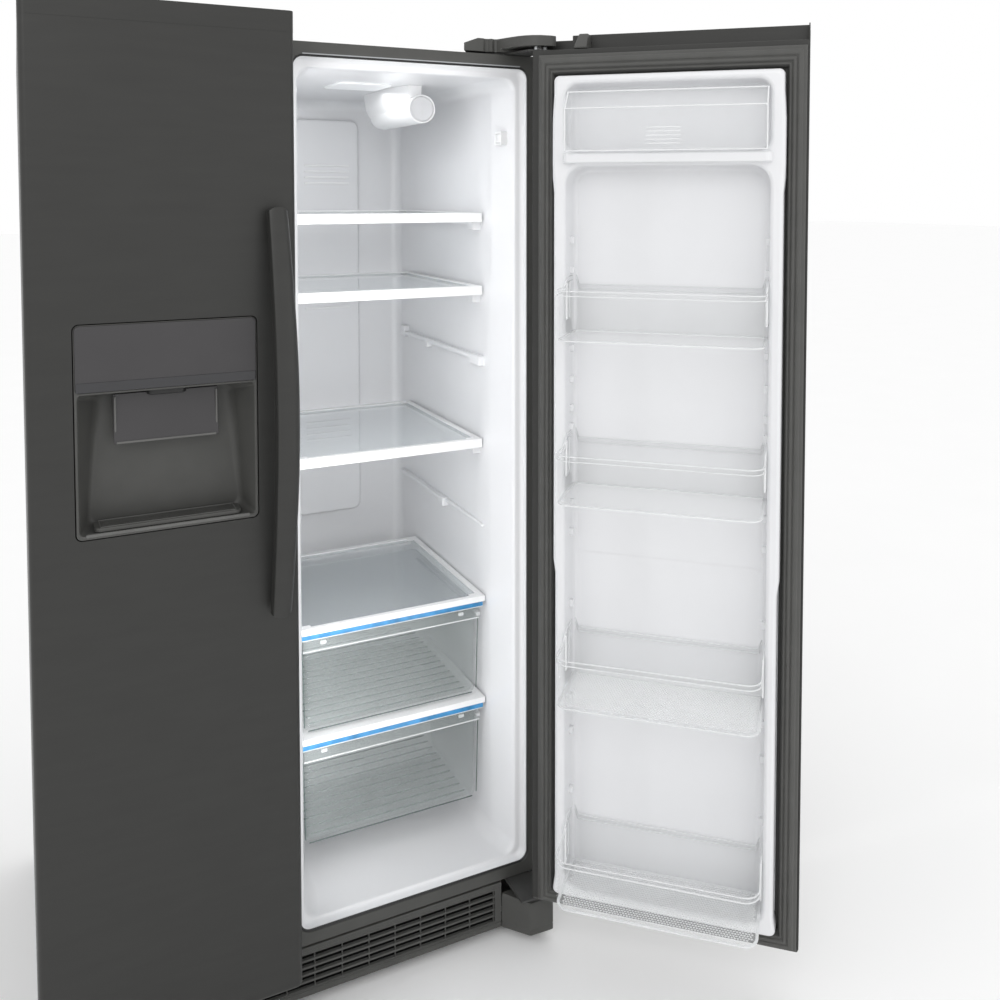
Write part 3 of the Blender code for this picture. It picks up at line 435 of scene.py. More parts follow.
def liner_profile():
    """(depth, share) from the rim to the back, over the step above the machine compartment."""
    floor, ceiling, radius = LINER_FLOOR, LINER_CEILING, 0.027
    corner = OPENING_ROUND
    lip = ((0.0046, 0.0003, 0.0003, 0.0003, corner), (0.006, 0.0016, 0.001, 0.0016, corner),
           (0.012, 0.0024, 0.0016, 0.0024, corner), (0.014, 0.0045, 0.0024, 0.0045, corner),
           (0.0175, 0.006, 0.003, 0.006, 0.019), (0.019, 0.0105, 0.0048, 0.01, 0.02),
           (0.02, 0.016, 0.0064, 0.015, 0.022))
    profile = [(y, (aside, OPENING_BASE + up, OPENING_TOP - down, r)) for y, aside, up, down, r in lip]
    profile += [(0.0225, (0.0186, floor, ceiling + 0.0006, 0.025)),
                (0.03, (0.0218, floor, ceiling, radius))]
    for k in range(1, 9):
        aside = WALL_IN - 0.0132 * (1.0 - k / 8) ** 1.35
        profile.append((0.03 + 0.075 * k / 8, (aside, floor, ceiling, radius)))
    bottoms = [(0.105 + (0.425 - 0.105) * k / 19, floor) for k in range(1, 20)]
    bottoms += [(HUMP_FRONT, floor + 0.004), (HUMP_FRONT + HUMP_SLANT * 0.5, 0.5 * (floor + HUMP_TOP)),
                (HUMP_FRONT + HUMP_SLANT, HUMP_TOP - 0.004), (HUMP_FRONT + HUMP_SLANT + 0.008, HUMP_TOP)]
    bottoms += [(0.47 + 0.14 * k / 8, HUMP_TOP) for k in range(1, 9)]
    profile += [(y, (WALL_IN, bottom, ceiling, radius)) for y, bottom in bottoms]
    for a in [math.radians(18 * k) for k in range(1, 6)]:
        inset = 0.025 * (1 - math.cos(a))
        profile.append((0.61 + 0.025 * math.sin(a),
                        (WALL_IN + inset, HUMP_TOP + inset, ceiling - inset, radius)))
    return profile


def liner(opening, name, node):
    wall, profile = 0.0022, liner_profile()
    inside = [liner_ring(opening, y, share, 0.0) for y, share in profile]
    behind = [liner_ring(opening, y + (wall if y > 0.6 else 0.0), share, wall) for y, share in profile]
    behind[0] = liner_ring(opening, 0.0046, (0.0, OPENING_BASE, OPENING_TOP, OPENING_ROUND), 0.0016)
    hang(name, skin(behind[::-1] + inside), LINER, "cabinet", (node,), angle=60)


def ledge_pieces(opening, top, height, width, front, back, lugs=()):
    """A moulded ledge on both side walls, with lugs (y, length, extra height, extra drop)."""
    made = []
    left = opening[0] + (MULLION_IN if opening == FRIDGE_X else WALL_IN)
    right = opening[1] - WALL_IN
    for wall, side in ((left, 1), (right, -1)):
        x = across(wall, side, -0.004, width)
        made.append(soft_box(x, (front, back), (top - height, top), 0.003, 3))
        x = across(wall, side, -0.004, width + 0.0009)
        for y, length, rise, drop in lugs:
            made.append(soft_box(x, (y - 0.0009, y + length), (top - height - drop, top + rise + 0.0006),
                                 0.003, 3))
    return made


def liners():
    liner(FRIDGE_X, "fridge_liner_moulding", "fridge_liner")
    liner(FREEZER_X, "freezer_liner_moulding", "freezer_liner")
    made = []
    for top in SHELF_TOPS:
        made += ledge_pieces(FRIDGE_X, top - 0.0125, 0.012, 0.015, 0.15, 0.59, ((0.15, 0.024, 0.0, 0.012),))
    made += ledge_pieces(FRIDGE_X, RAIL_TOPS[0], 0.01, 0.011, 0.13, 0.6,
                         ((0.13, 0.05, 0.0, 0.01), (0.42, 0.02, 0.0, 0.01), (0.572, 0.028, 0.012, 0.004)))
    made += ledge_pieces(FRIDGE_X, RAIL_TOPS[1], 0.007, 0.006, 0.13, 0.34)
    made += ledge_pieces(FRIDGE_X, RAIL_TOPS[1] + 0.001, 0.011, 0.012, 0.33, 0.6,
                         ((0.326, 0.03, 0.0, 0.008),))
    for top, back in ((COVER_TOPS[0] - 0.0125, 0.54), (COVER_TOPS[1] - 0.0125, 0.43)):
        made += ledge_pieces(FRIDGE_X, top, 0.009, 0.014, 0.15, back)
    for top, back in ((DRAWERS[0][1] - 0.0255, 0.5), (DRAWERS[1][1] - 0.0255, 0.42)):
        made += ledge_pieces(FRIDGE_X, top, 0.009, 0.009, 0.15, back)
    hang("fridge_wall_ledges", made, LINER)
    made = []
    for top in (1.3445, 1.0075):
        made += ledge_pieces(FREEZER_X, top, 0.012, 0.015, 0.11, 0.58, ((0.11, 0.024, 0.0, 0.01),))
    made += ledge_pieces(FREEZER_X, 0.3845, 0.011, 0.009, 0.13, 0.42)
    hang("freezer_wall_ledges", made, LINER)
    # air duct on the fridge's back wall, with louvres
    duct = bevel(prism(rounded(0.13, 0.7, 0.29, 1.655, 0.02, 6), "Y", 0.622, 0.64), 0.006, 3)
    vents = []
    for z in (1.5, 1.2, 0.88):
        for k in range(4):
            vents.append(soft_box((0.155, 0.265), (0.6195, 0.6235), (z + 0.014 * k, z + 0.014 * k + 0.005),
                                  0.0015))
    hang("air_duct", [duct], LINER)
    hang("air_duct_louvres", vents, WHITE)
    # ceiling light lens near the front of the fridge
    lens = bevel(prism(rounded(0.12, 0.215, 0.236, 0.33, 0.016, 6), "Z", 1.6968, 1.7015), 0.0018, 3)
    hang("light_lens", lens, LENS)


# --- doors ---
def door_plan(span, inset=0.0):
    """Plan of a door slab: rounded outer corners, small round on the back corners."""
    x0, x1 = span[0] + inset, span[1] - inset
    front, back = DOOR_FRONT + inset, DOOR_BACK
    big, small = 0.01, 0.002
    return (arc(x0 + big, front + big, big, 180) + arc(x1 - big, front + big, big, 270)
            + arc(x1 - small, back - small, small, 0) + arc(x0 + small, back - small, small, 90))


def slab(span, z, inset=0.0, top_round=0.0012):
    """A slice of a door with its top and bottom edges rounded off."""
    r, t = 0.0012, top_round
    levels = ((r, z[0]), (r * 0.3, z[0] + r * 0.3), (0.0, z[0] + r), (0.0, z[1] - t),
              (t * 0.3, z[1] - t * 0.3), (t, z[1]))
    return loft([(door_plan(span, inset + d), level) for d, level in levels], "Z")


def door_skin(span, side, name, body, node, recesses, cuts=()):
    lower_cap = DOOR_BASE + 0.003
    x0, x1 = span
    hinge_edge = x1 if side > 0 else x0
    free_edge = x0 if side > 0 else x1
    pocket = liner_span(span, side)
    hollows = [box((pocket[0] + 0.0035, pocket[1] - 0.0035), (RECESS_Y - 0.0035, 0.0),
                   (low - DIKE_END + 0.0035, high + DIKE_END - 0.0035)) for low, high, _ in recesses]
    main = slab(span, (lower_cap, DOOR_STEP), top_round=0.0002)
    cut(main, *hollows, *cuts)
    hang(name + "_steel", main, STEEL, body, (node,), angle=30)
    bottom = slab(span, (DOOR_BASE, lower_cap - 0.0003), 0.0014)
    low_end = hinge_edge - side * 0.062

    def visor_ring(inset):
        return [(u, min(v, DOOR_FRONT + 0.008 - inset)) for u, v in door_plan(span, inset)]

    visor = loft([(visor_ring(inset), z) for inset, z in (
        (0.0002, DOOR_STEP - 0.0006), (0.0, DOOR_STEP - 0.0004), (0.0, DOOR_TOP - 0.0102),
                                   (0.0004, DOOR_TOP - 0.0094), (0.0012, DOOR_TOP - 0.009))], "Z")
    front_corner = (1, 0, 0, 0) if side > 0 else (0, 1, 0, 0)
    crest = nest(sorted((free_edge, low_end)), (DOOR_FRONT, DOOR_FRONT + 0.008), 0.0074,
                 ((0.0002, DOOR_TOP - 0.012), (0.0002, DOOR_TOP - 0.001), (0.0009, DOOR_TOP - 0.0001)), "Z",
                 4, 0, corners=front_corner)
    # short return of the visor round the free edge
    wrap = soft_box(across(free_edge, side, 0.0003, 0.0024), (DOOR_FRONT + 0.007, DOOR_FRONT + 0.034),
                    (DOOR_STEP - 0.001, DOOR_TOP - 0.0004), 0.0005)
    # stop block: narrower and flush at its top, wider and proud below
    a, b = hinge_edge - side * 0.1, hinge_edge - side * 0.076
    rings = []
    for z, pinch, y in ((DOOR_STEP + 0.0035, 0.0, -0.033), (DOOR_STEP + 0.006, 0.0, -0.0327),
                        (DOOR_TOP - 0.004, 0.003, -0.058), (DOOR_TOP - 0.001, 0.004, -0.062)):
        u0, u1 = sorted((a + side * pinch, b - side * pinch))
        rings.append((rounded(u0, DOOR_FRONT + 0.005, u1, y, 0.002, 3, (0, 0, 1, 1)), z))
    block = loft(rings, "Z")
    foot = box(sorted((a + side * 0.004, b - side * 0.004)), (DOOR_FRONT + 0.006, -0.06),
               (DOOR_STEP - 0.001, DOOR_STEP + 0.004))
    hang(name + "_end_caps", [bottom, block, foot], TRIM, body, angle=35)
    hang(name + "_visor", [visor, crest, wrap], STEEL, body, angle=35)
    tray = soft_box(sorted((free_edge + side * 0.006, hinge_edge - side * 0.03)),
                    (DOOR_FRONT + 0.012, DOOR_BACK - 0.006), (DOOR_STEP - 0.001, DOOR_STEP + 0.0012),
                    0.0008)
    hang(name + "_top_cap", tray, TRIM, body, angle=35)


def liner_span(span, side):
    if side > 0:
        return span[0] + LINER_EDGE, span[1] - LINER_HINGE_EDGE
    return span[0] + LINER_HINGE_EDGE, span[1] - LINER_EDGE


def door_liner(span, side, name, body, node, recesses, steps_out, sinks=()):
    """Moulded dikes round the recesses; steps_out(z) moves the dikes' outer walls."""
    x0, x1 = liner_span(span, side)

    def outer(inset):
        return bowed_outline(x0 + inset, x1 - inset, DIKE_BASE + inset, DIKE_TOP - inset, 0.01, steps_out)

    crest = DIKE_CREST
    plate = loft([(outer(0.0012), DOOR_BACK + 0.0004), (outer(0.0012), DOOR_BACK + 0.002),
                  (outer(0.0022), crest - 0.007), (outer(0.003), crest - 0.0045),
                  (outer(0.0048), crest - 0.0016), (outer(0.0078), crest - 0.0002), (outer(0.01), crest)], "Y")
    profile = ((-0.0085, crest + 0.004), (-0.0085, crest + 0.0004), (-0.0055, crest - 0.0004),
               (-0.0026, crest - 0.0018), (-0.0006, crest - 0.0045), (0.0004, crest - 0.008),
               (0.002, RECESS_Y + 0.014), (0.0035, RECESS_Y + 0.0075), (0.007, RECESS_Y + 0.0026),
               (0.0115, RECESS_Y + 0.0004))
    shells = [nest((x0 + DIKE, x1 - DIKE), (low, high), radius, profile, "Y")
              for low, high, radius in recesses]
    for low, high, _ in recesses:
        join(plate, box((x0 + 0.004, x1 - 0.004), (RECESS_Y - 0.003, DOOR_BACK + 0.004),
                        (low - DIKE_END + 0.004, high + DIKE_END - 0.004)))
    cut(plate, *shells, *sinks)
    hang(name, plate, LINER, body, (node,), angle=50)


def gasket(span, side, name, body, node):
    """Ribbed seal: parallel ribs and grooves, mitred at the corners."""
    x0, x1 = liner_span(span, side)
    far = side * (HINGE_X - 0.0005)
    near = (span[0] if side > 0 else span[1]) + side * 0.004
    out_x = sorted((near, far))
    outer = (out_x[0], 0.125, out_x[1], 1.732)
    inner = (x0 - 0.0015, DIKE_BASE - 0.0015, x1 + 0.0015, DIKE_TOP + 0.0015)
    profile = ((0.0, -0.0217), (0.0, -0.013), (0.02, -0.0112), (0.06, -0.01), (0.12, -0.0092),
               (0.16, -0.0086), (0.19, -0.006), (0.21, -0.0034), (0.25, -0.0018), (0.34, -0.0008),
               (0.42, -0.0012), (0.47, -0.0026), (0.49, -0.0036), (0.51, -0.0036), (0.53, -0.0026),
               (0.58, -0.0012), (0.66, -0.001), (0.71, -0.0024), (0.74, -0.0046), (0.77, -0.0052),
               (0.8, -0.0044), (0.85, -0.0036), (0.9, -0.0044), (0.94, -0.009), (0.96, -0.0125),
               (0.99, -0.014), (1.0, -0.0217))
    sections = []
    for share, y in profile:
        rect = [o + (i - o) * share for o, i in zip(outer, inner)]
        sections.append((rounded(rect[0], rect[1], rect[2], rect[3], 0.0015, 2), y))
    hang(name, loft(sections, "Y", closed=True), RUBBER, body, (node,), angle=50)


def handle(span, side, name, body, node):
    free_edge = span[0] if side > 0 else span[1]
    low, high = HANDLE_Z
    steps = 44
    rings = []
    # across the bar towards the door's free edge: flat face with a soft flank
    section = ((0.0, 0.003), (0.02, -0.006), (0.08, -0.0092), (0.2, -0.0106), (0.42, -0.011),
               (0.62, -0.0108), (0.74, -0.0102), (0.84, -0.0088), (0.92, -0.0062), (0.98, -0.002),
               (1.0, 0.002), (0.98, 0.004), (0.5, 0.003), (0.04, 0.004))
    for k in range(steps + 1):
        share = k / steps
        bow = math.sin(math.pi * share)
        inner = free_edge + side * (0.0183 - 0.0083 * bow)
        width = 0.0345 + 0.0055 * bow
        y = -0.11 - 0.036 * bow
        z = low + share * (high - low)
        # the two ends are cut to a shallow arc
        sag = 0.0055 if k == 0 else (-0.0055 if k == steps else 0.0)
        rings.append([(inner + side * width * (1.0 - s), y + d, z + sag * (2.0 * s - 1.0) ** 2)
                      for s, d in section])

    def shrunk(ring, dz):
        cx = sum(p[0] for p in ring) / len(ring)
        cy = sum(p[1] for p in ring) / len(ring)
        return [(cx + (u - cx) * 0.9, cy + (v - cy) * 0.86, z + dz) for u, v, z in ring]

    bar = skin([shrunk(rings[0], -0.0015)] + rings + [shrunk(rings[-1], 0.0015)])
    post = across(free_edge, side, 0.021, 0.045)
    posts = []
    for z in (low + 0.004, high - 0.044):
        outline = rounded(post[0], z, post[1], z + 0.04, 0.006, 5)
        posts.append(bevel(prism(outline, "Y", -0.114, DOOR_FRONT + 0.0004), 0.0008, 2))
    hang(name, [bar] + posts, STEEL, body, (node,), angle=35)


def bin_ring(x, inset, front, z, rise):
    """Outline of a door bin at a height; the rim rises towards the door by rise(y)."""
    points = rounded(x[0] + inset, RECESS_Y + 0.0008 + inset, x[1] - inset, front - inset, 0.028 - inset, 8,
                     (0, 0, 1, 1))
    dense = []
    for (u, v), (s, t) in zip(points, points[1:] + points[:1]):
        dense.append((u, v))
        length = math.hypot(s - u, t - v)
        if length > 0.03 and abs(s - u) < 0.001:
            count = 10
            dense += [(u + (s - u) * k / count, v + (t - v) * k / count) for k in range(1, count)]
        elif length > 0.03 and v < 0.0:
            reach = math.copysign(1.0, s - u)
            dense += [(u + reach * 0.006, v), (u + reach * 0.0115, v), (s - reach * 0.0115, v),
                      (s - reach * 0.006, v)]
    low, high = x[0] + 0.01, x[1] - 0.01
    return [(u, v, z + (0.0 if low < u < high else rise(v))) for u, v in dense]


def door_bin(name, node, x, base, front, body, textured):
    def flat(y):
        return 0.0

    def wing(y):
        return 0.017 * smooth((0.035 - y) / 0.045)

    top = base + BIN_HEIGHT
    def ring(inset, z, rise):
        return bin_ring(x, inset, front, z, rise)

    rings = [ring(inset, base + up, flat)
             for inset, up in ((0.0045, 0.0), (0.003, 0.001), (0.0018, 0.005), (0.0012, 0.02))]
    rings += [ring(inset, top - down, wing) for inset, down in
              ((0.0012, 0.0095), (0.0002, 0.0085), (0.0002, 0.001), (0.0008, 0.0), (0.0022, 0.0),
               (0.0028, 0.001), (0.0032, 0.012))]
    rings += [ring(inset, base + up, flat)
              for inset, up in ((0.0036, 0.02), (0.0046, 0.006), (0.0062, 0.0028))]
    hang(name + "_tub", skin(rings), CLEAR, body, (node,), angle=50)
    # the rim bands, wall ribs and base band are drawn in the nearly white finish: painted highlights on the
    # clear bin
    edges = []
    for z in (top - 0.0005, top - 0.009):
        low, high = z - 0.0006, z + 0.0006
        edges.append(skin([ring(inset, level, wing) for inset, level in
                           ((0.0001, low), (0.0001 + 0.0022, low), (0.0001 + 0.0022, high),
                            (0.0001, high))],
                          closed=True))
    edges.append(skin([ring(inset, base + up, flat) for inset, up in
                       ((0.0028, 0.0002), (0.0075, 0.0002), (0.0075, 0.0022), (0.0022, 0.0022))],
                      closed=True))
    for wall, side in ((x[0], 1), (x[1], -1)):
        for y in (-0.01, 0.012):
            edges.append(soft_box(across(wall, side, 0.0005, 0.0042), (y, y + 0.002),
                                  (base + 0.03, top + 0.006), 0.0005))
        edges.append(soft_box(across(wall, side, 0.0005, 0.0036), (-0.01, 0.014),
                              (base + 0.028, base + 0.03), 0.0005))
    hang(name + "_edges", edges, CLEAR_HIGHLIGHT, body, angle=50)
    # the floor's studs also take the painted highlight white
    if textured:
        hang(name + "_floor_pattern", studs((x[0] + 0.01, x[1] - 0.01), (-0.038, front - 0.01),
                base + 0.0028), CLEAR_HIGHLIGHT, body, angle=10)


def studs(x, y, z, pitch=0.0052, height=0.0009):
    """A field of low pyramids."""
    bm = bmesh.new()
    columns, rows = int((x[1] - x[0]) / pitch), int((y[1] - y[0]) / pitch)
    for i in range(columns):
        for j in range(rows):
            u = x[0] + (i + (0.5 if j % 2 else 0.0)) * pitch
            v = y[0] + j * pitch
            if u + pitch > x[1]:
                continue
            edge = min(x[1] - u - pitch, u - x[0]) + (y[1] - v - pitch)
            if edge < 0.01:
                continue
            base = [bm.verts.new((u + pitch * 0.5 * (1 + math.cos(a)), v + pitch * 0.5 * (1 + math.sin(a)),
                                  z))
                    for a in (0.0, math.pi / 2, math.pi, 3 * math.pi / 2)]
            tip = bm.verts.new((u + pitch / 2, v + pitch / 2, z + height))
            for k in range(4):
                bm.faces.new((base[k], base[(k + 1) % 4], tip))
    return new_shape(bm)


def lugs(x0, x1, heights, body, name):
    """Square bin hooks in a column on each dike's inner wall."""
    made = []
    for wall, side in ((x0 + DIKE, 1), (x1 - DIKE, -1)):
        for z in heights:
            x = across(wall, side, -0.003, 0.0085)
            made.append(soft_box(x, (-0.03, -0.019), (z, z + 0.013), 0.0018, 3))
    hang(name, made, LINER, body)


def dairy():
    x0, x1 = liner_span(FRIDGE_DOOR_X, 1)
    left, right = x0 + DIKE + 0.003, x1 - DIKE - 0.003
    ledge = rounded(x0 + DIKE - 0.004, RECESS_Y + 0.01, x1 - DIKE + 0.004, 0.0275, 0.012, 6, (0, 0, 1, 1))
    shelf = bevel(prism(ledge, "Z", DAIRY_LEDGE[0] + 0.0045, DAIRY_LEDGE[1] - 0.0005), 0.0035, 4)
    hang("dairy_ledge", shelf, LINER, "fridge_door")
    y, z, low, wall = 0.01, 1.66, DAIRY_LEDGE[1] + 0.002, 0.0022
    face = [(y - 0.003, z - 0.001), (y - 0.001, z + 0.0012), (y + 0.002, z + 0.002), (0.0345, 1.6325),
            (0.036, 1.63), (0.0366, 1.627), (0.038, low + 0.001), (0.0375, low), (0.0355, low),
            (0.035, low + 0.001), (0.0344, 1.6265), (0.0336, 1.6285), (0.032, 1.6312)]
    flap = prism(face, "X", left, right)
    cheek = [(y - 0.002, z - 0.0005), (y + 0.001, z + 0.0005), (0.0345, 1.6295), (0.0355, 1.627),
             (0.0368, low + 0.001), (0.004, low + 0.004), (0.001, low + 0.01), (-0.004, 1.6),
             (-0.004, 1.64)]
    cheeks = []
    for start in (left + 0.0004, right - wall - 0.0004):
        cheeks.append(prism(cheek, "X", start, start + wall))
    hang("dairy_flap", [flap] + cheeks, CLEAR, "dairy_cover", ("dairy_cover",), angle=35)
    # white beads along the hinge, the bend and the foot of the flap, and on the cheeks' edges: painted
    # highlights of the clear flap
    beads = [rod(y + 0.0005, z + 0.0004, 0.0013, "X", left, right, 12),
             rod(0.036, 1.629, 0.0011, "X", left, right, 12),
             rod(0.0368, low + 0.0012, 0.0011, "X", left, right, 12)]
    for start, before, after in ((left, -0.0004, 0.0025), (right - 0.0025, 0.0, 0.0029)):
        beads.append(prism([(y - 0.001, z), (y + 0.001, z + 0.001), (0.0362, 1.63), (0.035, 1.6275)], "X",
                           start, start + 0.0025))
        beads.append(soft_box((start, start + 0.0025), (0.0352, 0.0378), (low, 1.629), 0.0005))
        beads.append(rod(y - 0.0005, z - 0.0018, 0.0032, "X", start + before, start + after, 16))
    for k in range(5):
        beads.append(soft_box(about(0.5 * (left + right), 0.03), (0.0362, 0.038),
                              (low + 0.012 + 0.007 * k, low + 0.0135 + 0.007 * k), 0.0004))
    hang("dairy_flap_highlight_lines", beads, CLEAR_HIGHLIGHT, "dairy_cover")


def fridge_door():
    span, side, body = FRIDGE_DOOR_X, 1, "fridge_door"
    recesses = [(DIKE_BASE + DIKE_END, DAIRY_LEDGE[0], 0.034), (DAIRY_LEDGE[1], DIKE_TOP - DIKE_END, 0.022)]
    door_skin(span, side, "fridge_door", body, "fridge_door_shell", recesses)

    def steps_out(z):
        wide = 0.0028 * smooth((z - 1.5) / 0.006) * smooth((1.65 - z) / 0.035)
        narrow = -0.0035 * smooth((0.8 - z) / 0.01)
        return wide + narrow

    x0, x1 = liner_span(span, side)
    sink = nest((x0 + DIKE + 0.01, x1 - DIKE - 0.01), (DIKE_BASE + DIKE_END + 0.01, 0.803), 0.012,
                ((-0.004, RECESS_Y + 0.003), (0.0, RECESS_Y + 0.0006), (0.0035, RECESS_Y - 0.0006),
                 (0.0075, RECESS_Y - 0.0016)), "Y", 6, 0)
    door_liner(span, side, "fridge_door_moulding", body, "fridge_door_liner", recesses, steps_out, [sink])
    gasket(span, side, "fridge_door_seal", body, "fridge_door_gasket")
    handle(span, side, "fridge_handle", body, "fridge_door_handle")
    lugs(x0, x1, (1.385, 1.329, 1.183, 1.125, 1.071, 1.036, 0.892, 0.837, 0.7, 0.52, 0.455, 0.34, 0.18),
         body, "fridge_bin_hooks")
    for k, base in enumerate(BIN_BASES):
        door_bin("fridge_bin_%d" % (k + 1), "door_bin_%d" % (k + 1),
                 (x0 + DIKE + 0.0005, x1 - DIKE - 0.0005), base, BIN_FRONT, body, k > 1)
    dairy()


def freezer_door():
    span, side, body = FREEZER_DOOR_X, -1, "freezer_door"
    (x0, x1), (z0, z1) = DISPENSER_X, DISPENSER_Z
    hole = rounded(x0 - 0.0012, z0 - 0.0012, x1 + 0.0012, z1 + 0.0012, 0.01, 8)
    recesses = [(DIKE_BASE + DIKE_END, 0.89, 0.026), (1.34, DIKE_TOP - DIKE_END, 0.026)]
    door_skin(span, side, "freezer_door", body, "freezer_door_shell", recesses,
              [prism(hole, "Y", DOOR_FRONT - 0.01, DISPENSER_BACK + 0.0003)])
    door_liner(span, side, "freezer_door_moulding", body, "freezer_door_liner", recesses, lambda z: 0.0)
    gasket(span, side, "freezer_door_seal", body, "freezer_door_gasket")
    handle(span, side, "freezer_handle", body, "freezer_door_handle")
    left, right = liner_span(span, side)
    lugs(left, right, (0.7, 0.644, 0.47, 0.3, 1.42, 1.56), body, "freezer_bin_hooks")
    door_bin("freezer_bin", "freezer_door_bin", (left + DIKE + 0.0005, right - DIKE - 0.0005), 0.56,
             FREEZER_BIN_FRONT, body, False)
    dispenser()


def dispenser():
    body = "freezer_door"
    (x0, x1), (z0, z1) = DISPENSER_X, DISPENSER_Z
    front = DOOR_FRONT - 0.0015
    recess_top, recess_base = 1.169, 0.952
    mid = 0.5 * (x0 + x1)

    housing = nest((x0 + 0.0003, x1 - 0.0003), (z0 + 0.0003, z1 - 0.0003), 0.009, (
        (0.0018, front), (0.0005, front + 0.0004), (0.0, front + 0.0018), (0.0, DISPENSER_BACK)), "Y")
    rings = []
    for inset, y in ((-0.002, front - 0.005), (-0.002, front - 0.0004), (0.0, front + 0.0008),
                     (0.0012, front + 0.003), (0.0105, DISPENSER_BACK - 0.016),
                     (0.0135, DISPENSER_BACK - 0.008), (0.0185, DISPENSER_BACK - 0.004)):
        outline = rounded(x0 + 0.0045 + inset, recess_base + inset * 0.15, x1 - 0.0045 - inset,
                          recess_top - inset * 0.35, 0.006 + max(inset, 0.0) * 0.8, 8)
        lean = 0.9 * max(inset - 0.0012, 0.0) / (recess_top - recess_base)
        rings.append(([(u + math.copysign(1.0, mid - u) * lean * (v - recess_base) * 1.6, v)
                       for u, v in outline], y))
    cut(housing, loft(rings, "Y"))
    panel_hole = rounded(x0 + 0.0016, recess_top + 0.003, x1 - 0.0016, z1 - 0.0016, 0.007, 8)
    cut(housing, prism(panel_hole, "Y", front - 0.01, front + 0.0093))
    hang("dispenser_shell", housing, TRIM, body, ("dispenser_housing",), angle=35)
    plate = nest((x0 + 0.0019, x1 - 0.0019), (recess_top + 0.0033, z1 - 0.0019), 0.007, (
        (0.0, front + 0.009), (0.0, front + 0.0004), (0.0004, front - 0.0006), (0.0014, front - 0.001)),
        "Y", 8, 0)
    hang("dispenser_panel", plate, FASCIA, body, ("control_panel",), angle=35)
    band = soft_box((x0 + 0.003, x1 - 0.003), (front - 0.0022, front + 0.002),
                    (recess_top + 0.0042, recess_top + 0.019), 0.0008)
    hang("dispenser_light_bar", band, PANEL, body)
    sill = rounded(mid - 0.112, front + 0.004, mid + 0.112, -0.048, 0.01, 6)
    tray = bevel(prism(sill, "Z", recess_base + 0.0015, recess_base + 0.008), 0.0012, 3)
    grooves = []
    for k in range(9):
        y = front + 0.0105 + 0.0034 * k
        grooves.append(box(about(mid, 0.098), (y, y + 0.0017), (recess_base + 0.0055, recess_base + 0.012)))
    cut(tray, *grooves)
    hang("drip_grid", tray, TRIM, body, ("drip_tray",))
    # the lip and the tray's rim lines take the lighter trim: painted highlights on their edges
    lip = soft_box((x0 + 0.014, x1 - 0.014), (front - 0.0006, front + 0.004),
                   (recess_base - 0.0035, recess_base + 0.0015), 0.0012, 3)
    hang("drip_lip", lip, RIM_HIGHLIGHT, body)
    rims = [soft_box(about(mid, 0.104), (y, y + 0.0016), (recess_base + 0.0076, recess_base + 0.0092),
                     0.0005)
            for y in (front + 0.007, -0.051)]
    rims += [soft_box(across(mid, s, 0.104, 0.1024), (front + 0.007, -0.0494),
                      (recess_base + 0.0076, recess_base + 0.0092), 0.0005)
             for s in (-1, 1)]
    hang("drip_tray_rim_highlights", rims, RIM_HIGHLIGHT, body)
    nozzle = bevel(prism(rounded(mid - 0.03, -0.076, mid + 0.03, -0.052, 0.01, 6), "Z", 1.158, 1.171),
                   0.003, 3)
    hang("ice_chute", nozzle, BLACK, body)
    flap = [(-0.0625, 1.162), (-0.06, 1.1625), (-0.0575, 1.162), (-0.0575, 1.13), (-0.06, 1.105),
            (-0.064, 1.084), (-0.066, 1.0832), (-0.068, 1.084), (-0.065, 1.106), (-0.0625, 1.13)]
    paddle = bevel(prism(flap, "X", *about(mid, 0.08)), 0.0012, 2)
    hang("paddle", paddle, FASCIA, "dispenser_paddle", ("dispenser_paddle",))
    # lighter strips on the paddle's edges: painted highlights
    frame_lines = [soft_box((mid - 0.079, mid - 0.076), (-0.0655, -0.062), (1.092, 1.158), 0.0008),
                   soft_box((mid + 0.076, mid + 0.079), (-0.0655, -0.062), (1.092, 1.158), 0.0008),
                   soft_box(about(mid, 0.076), (-0.069, -0.065), (1.0835, 1.087), 0.0008)]
    hang("paddle_edge_highlights", frame_lines, RIM_HIGHLIGHT, "dispenser_paddle")


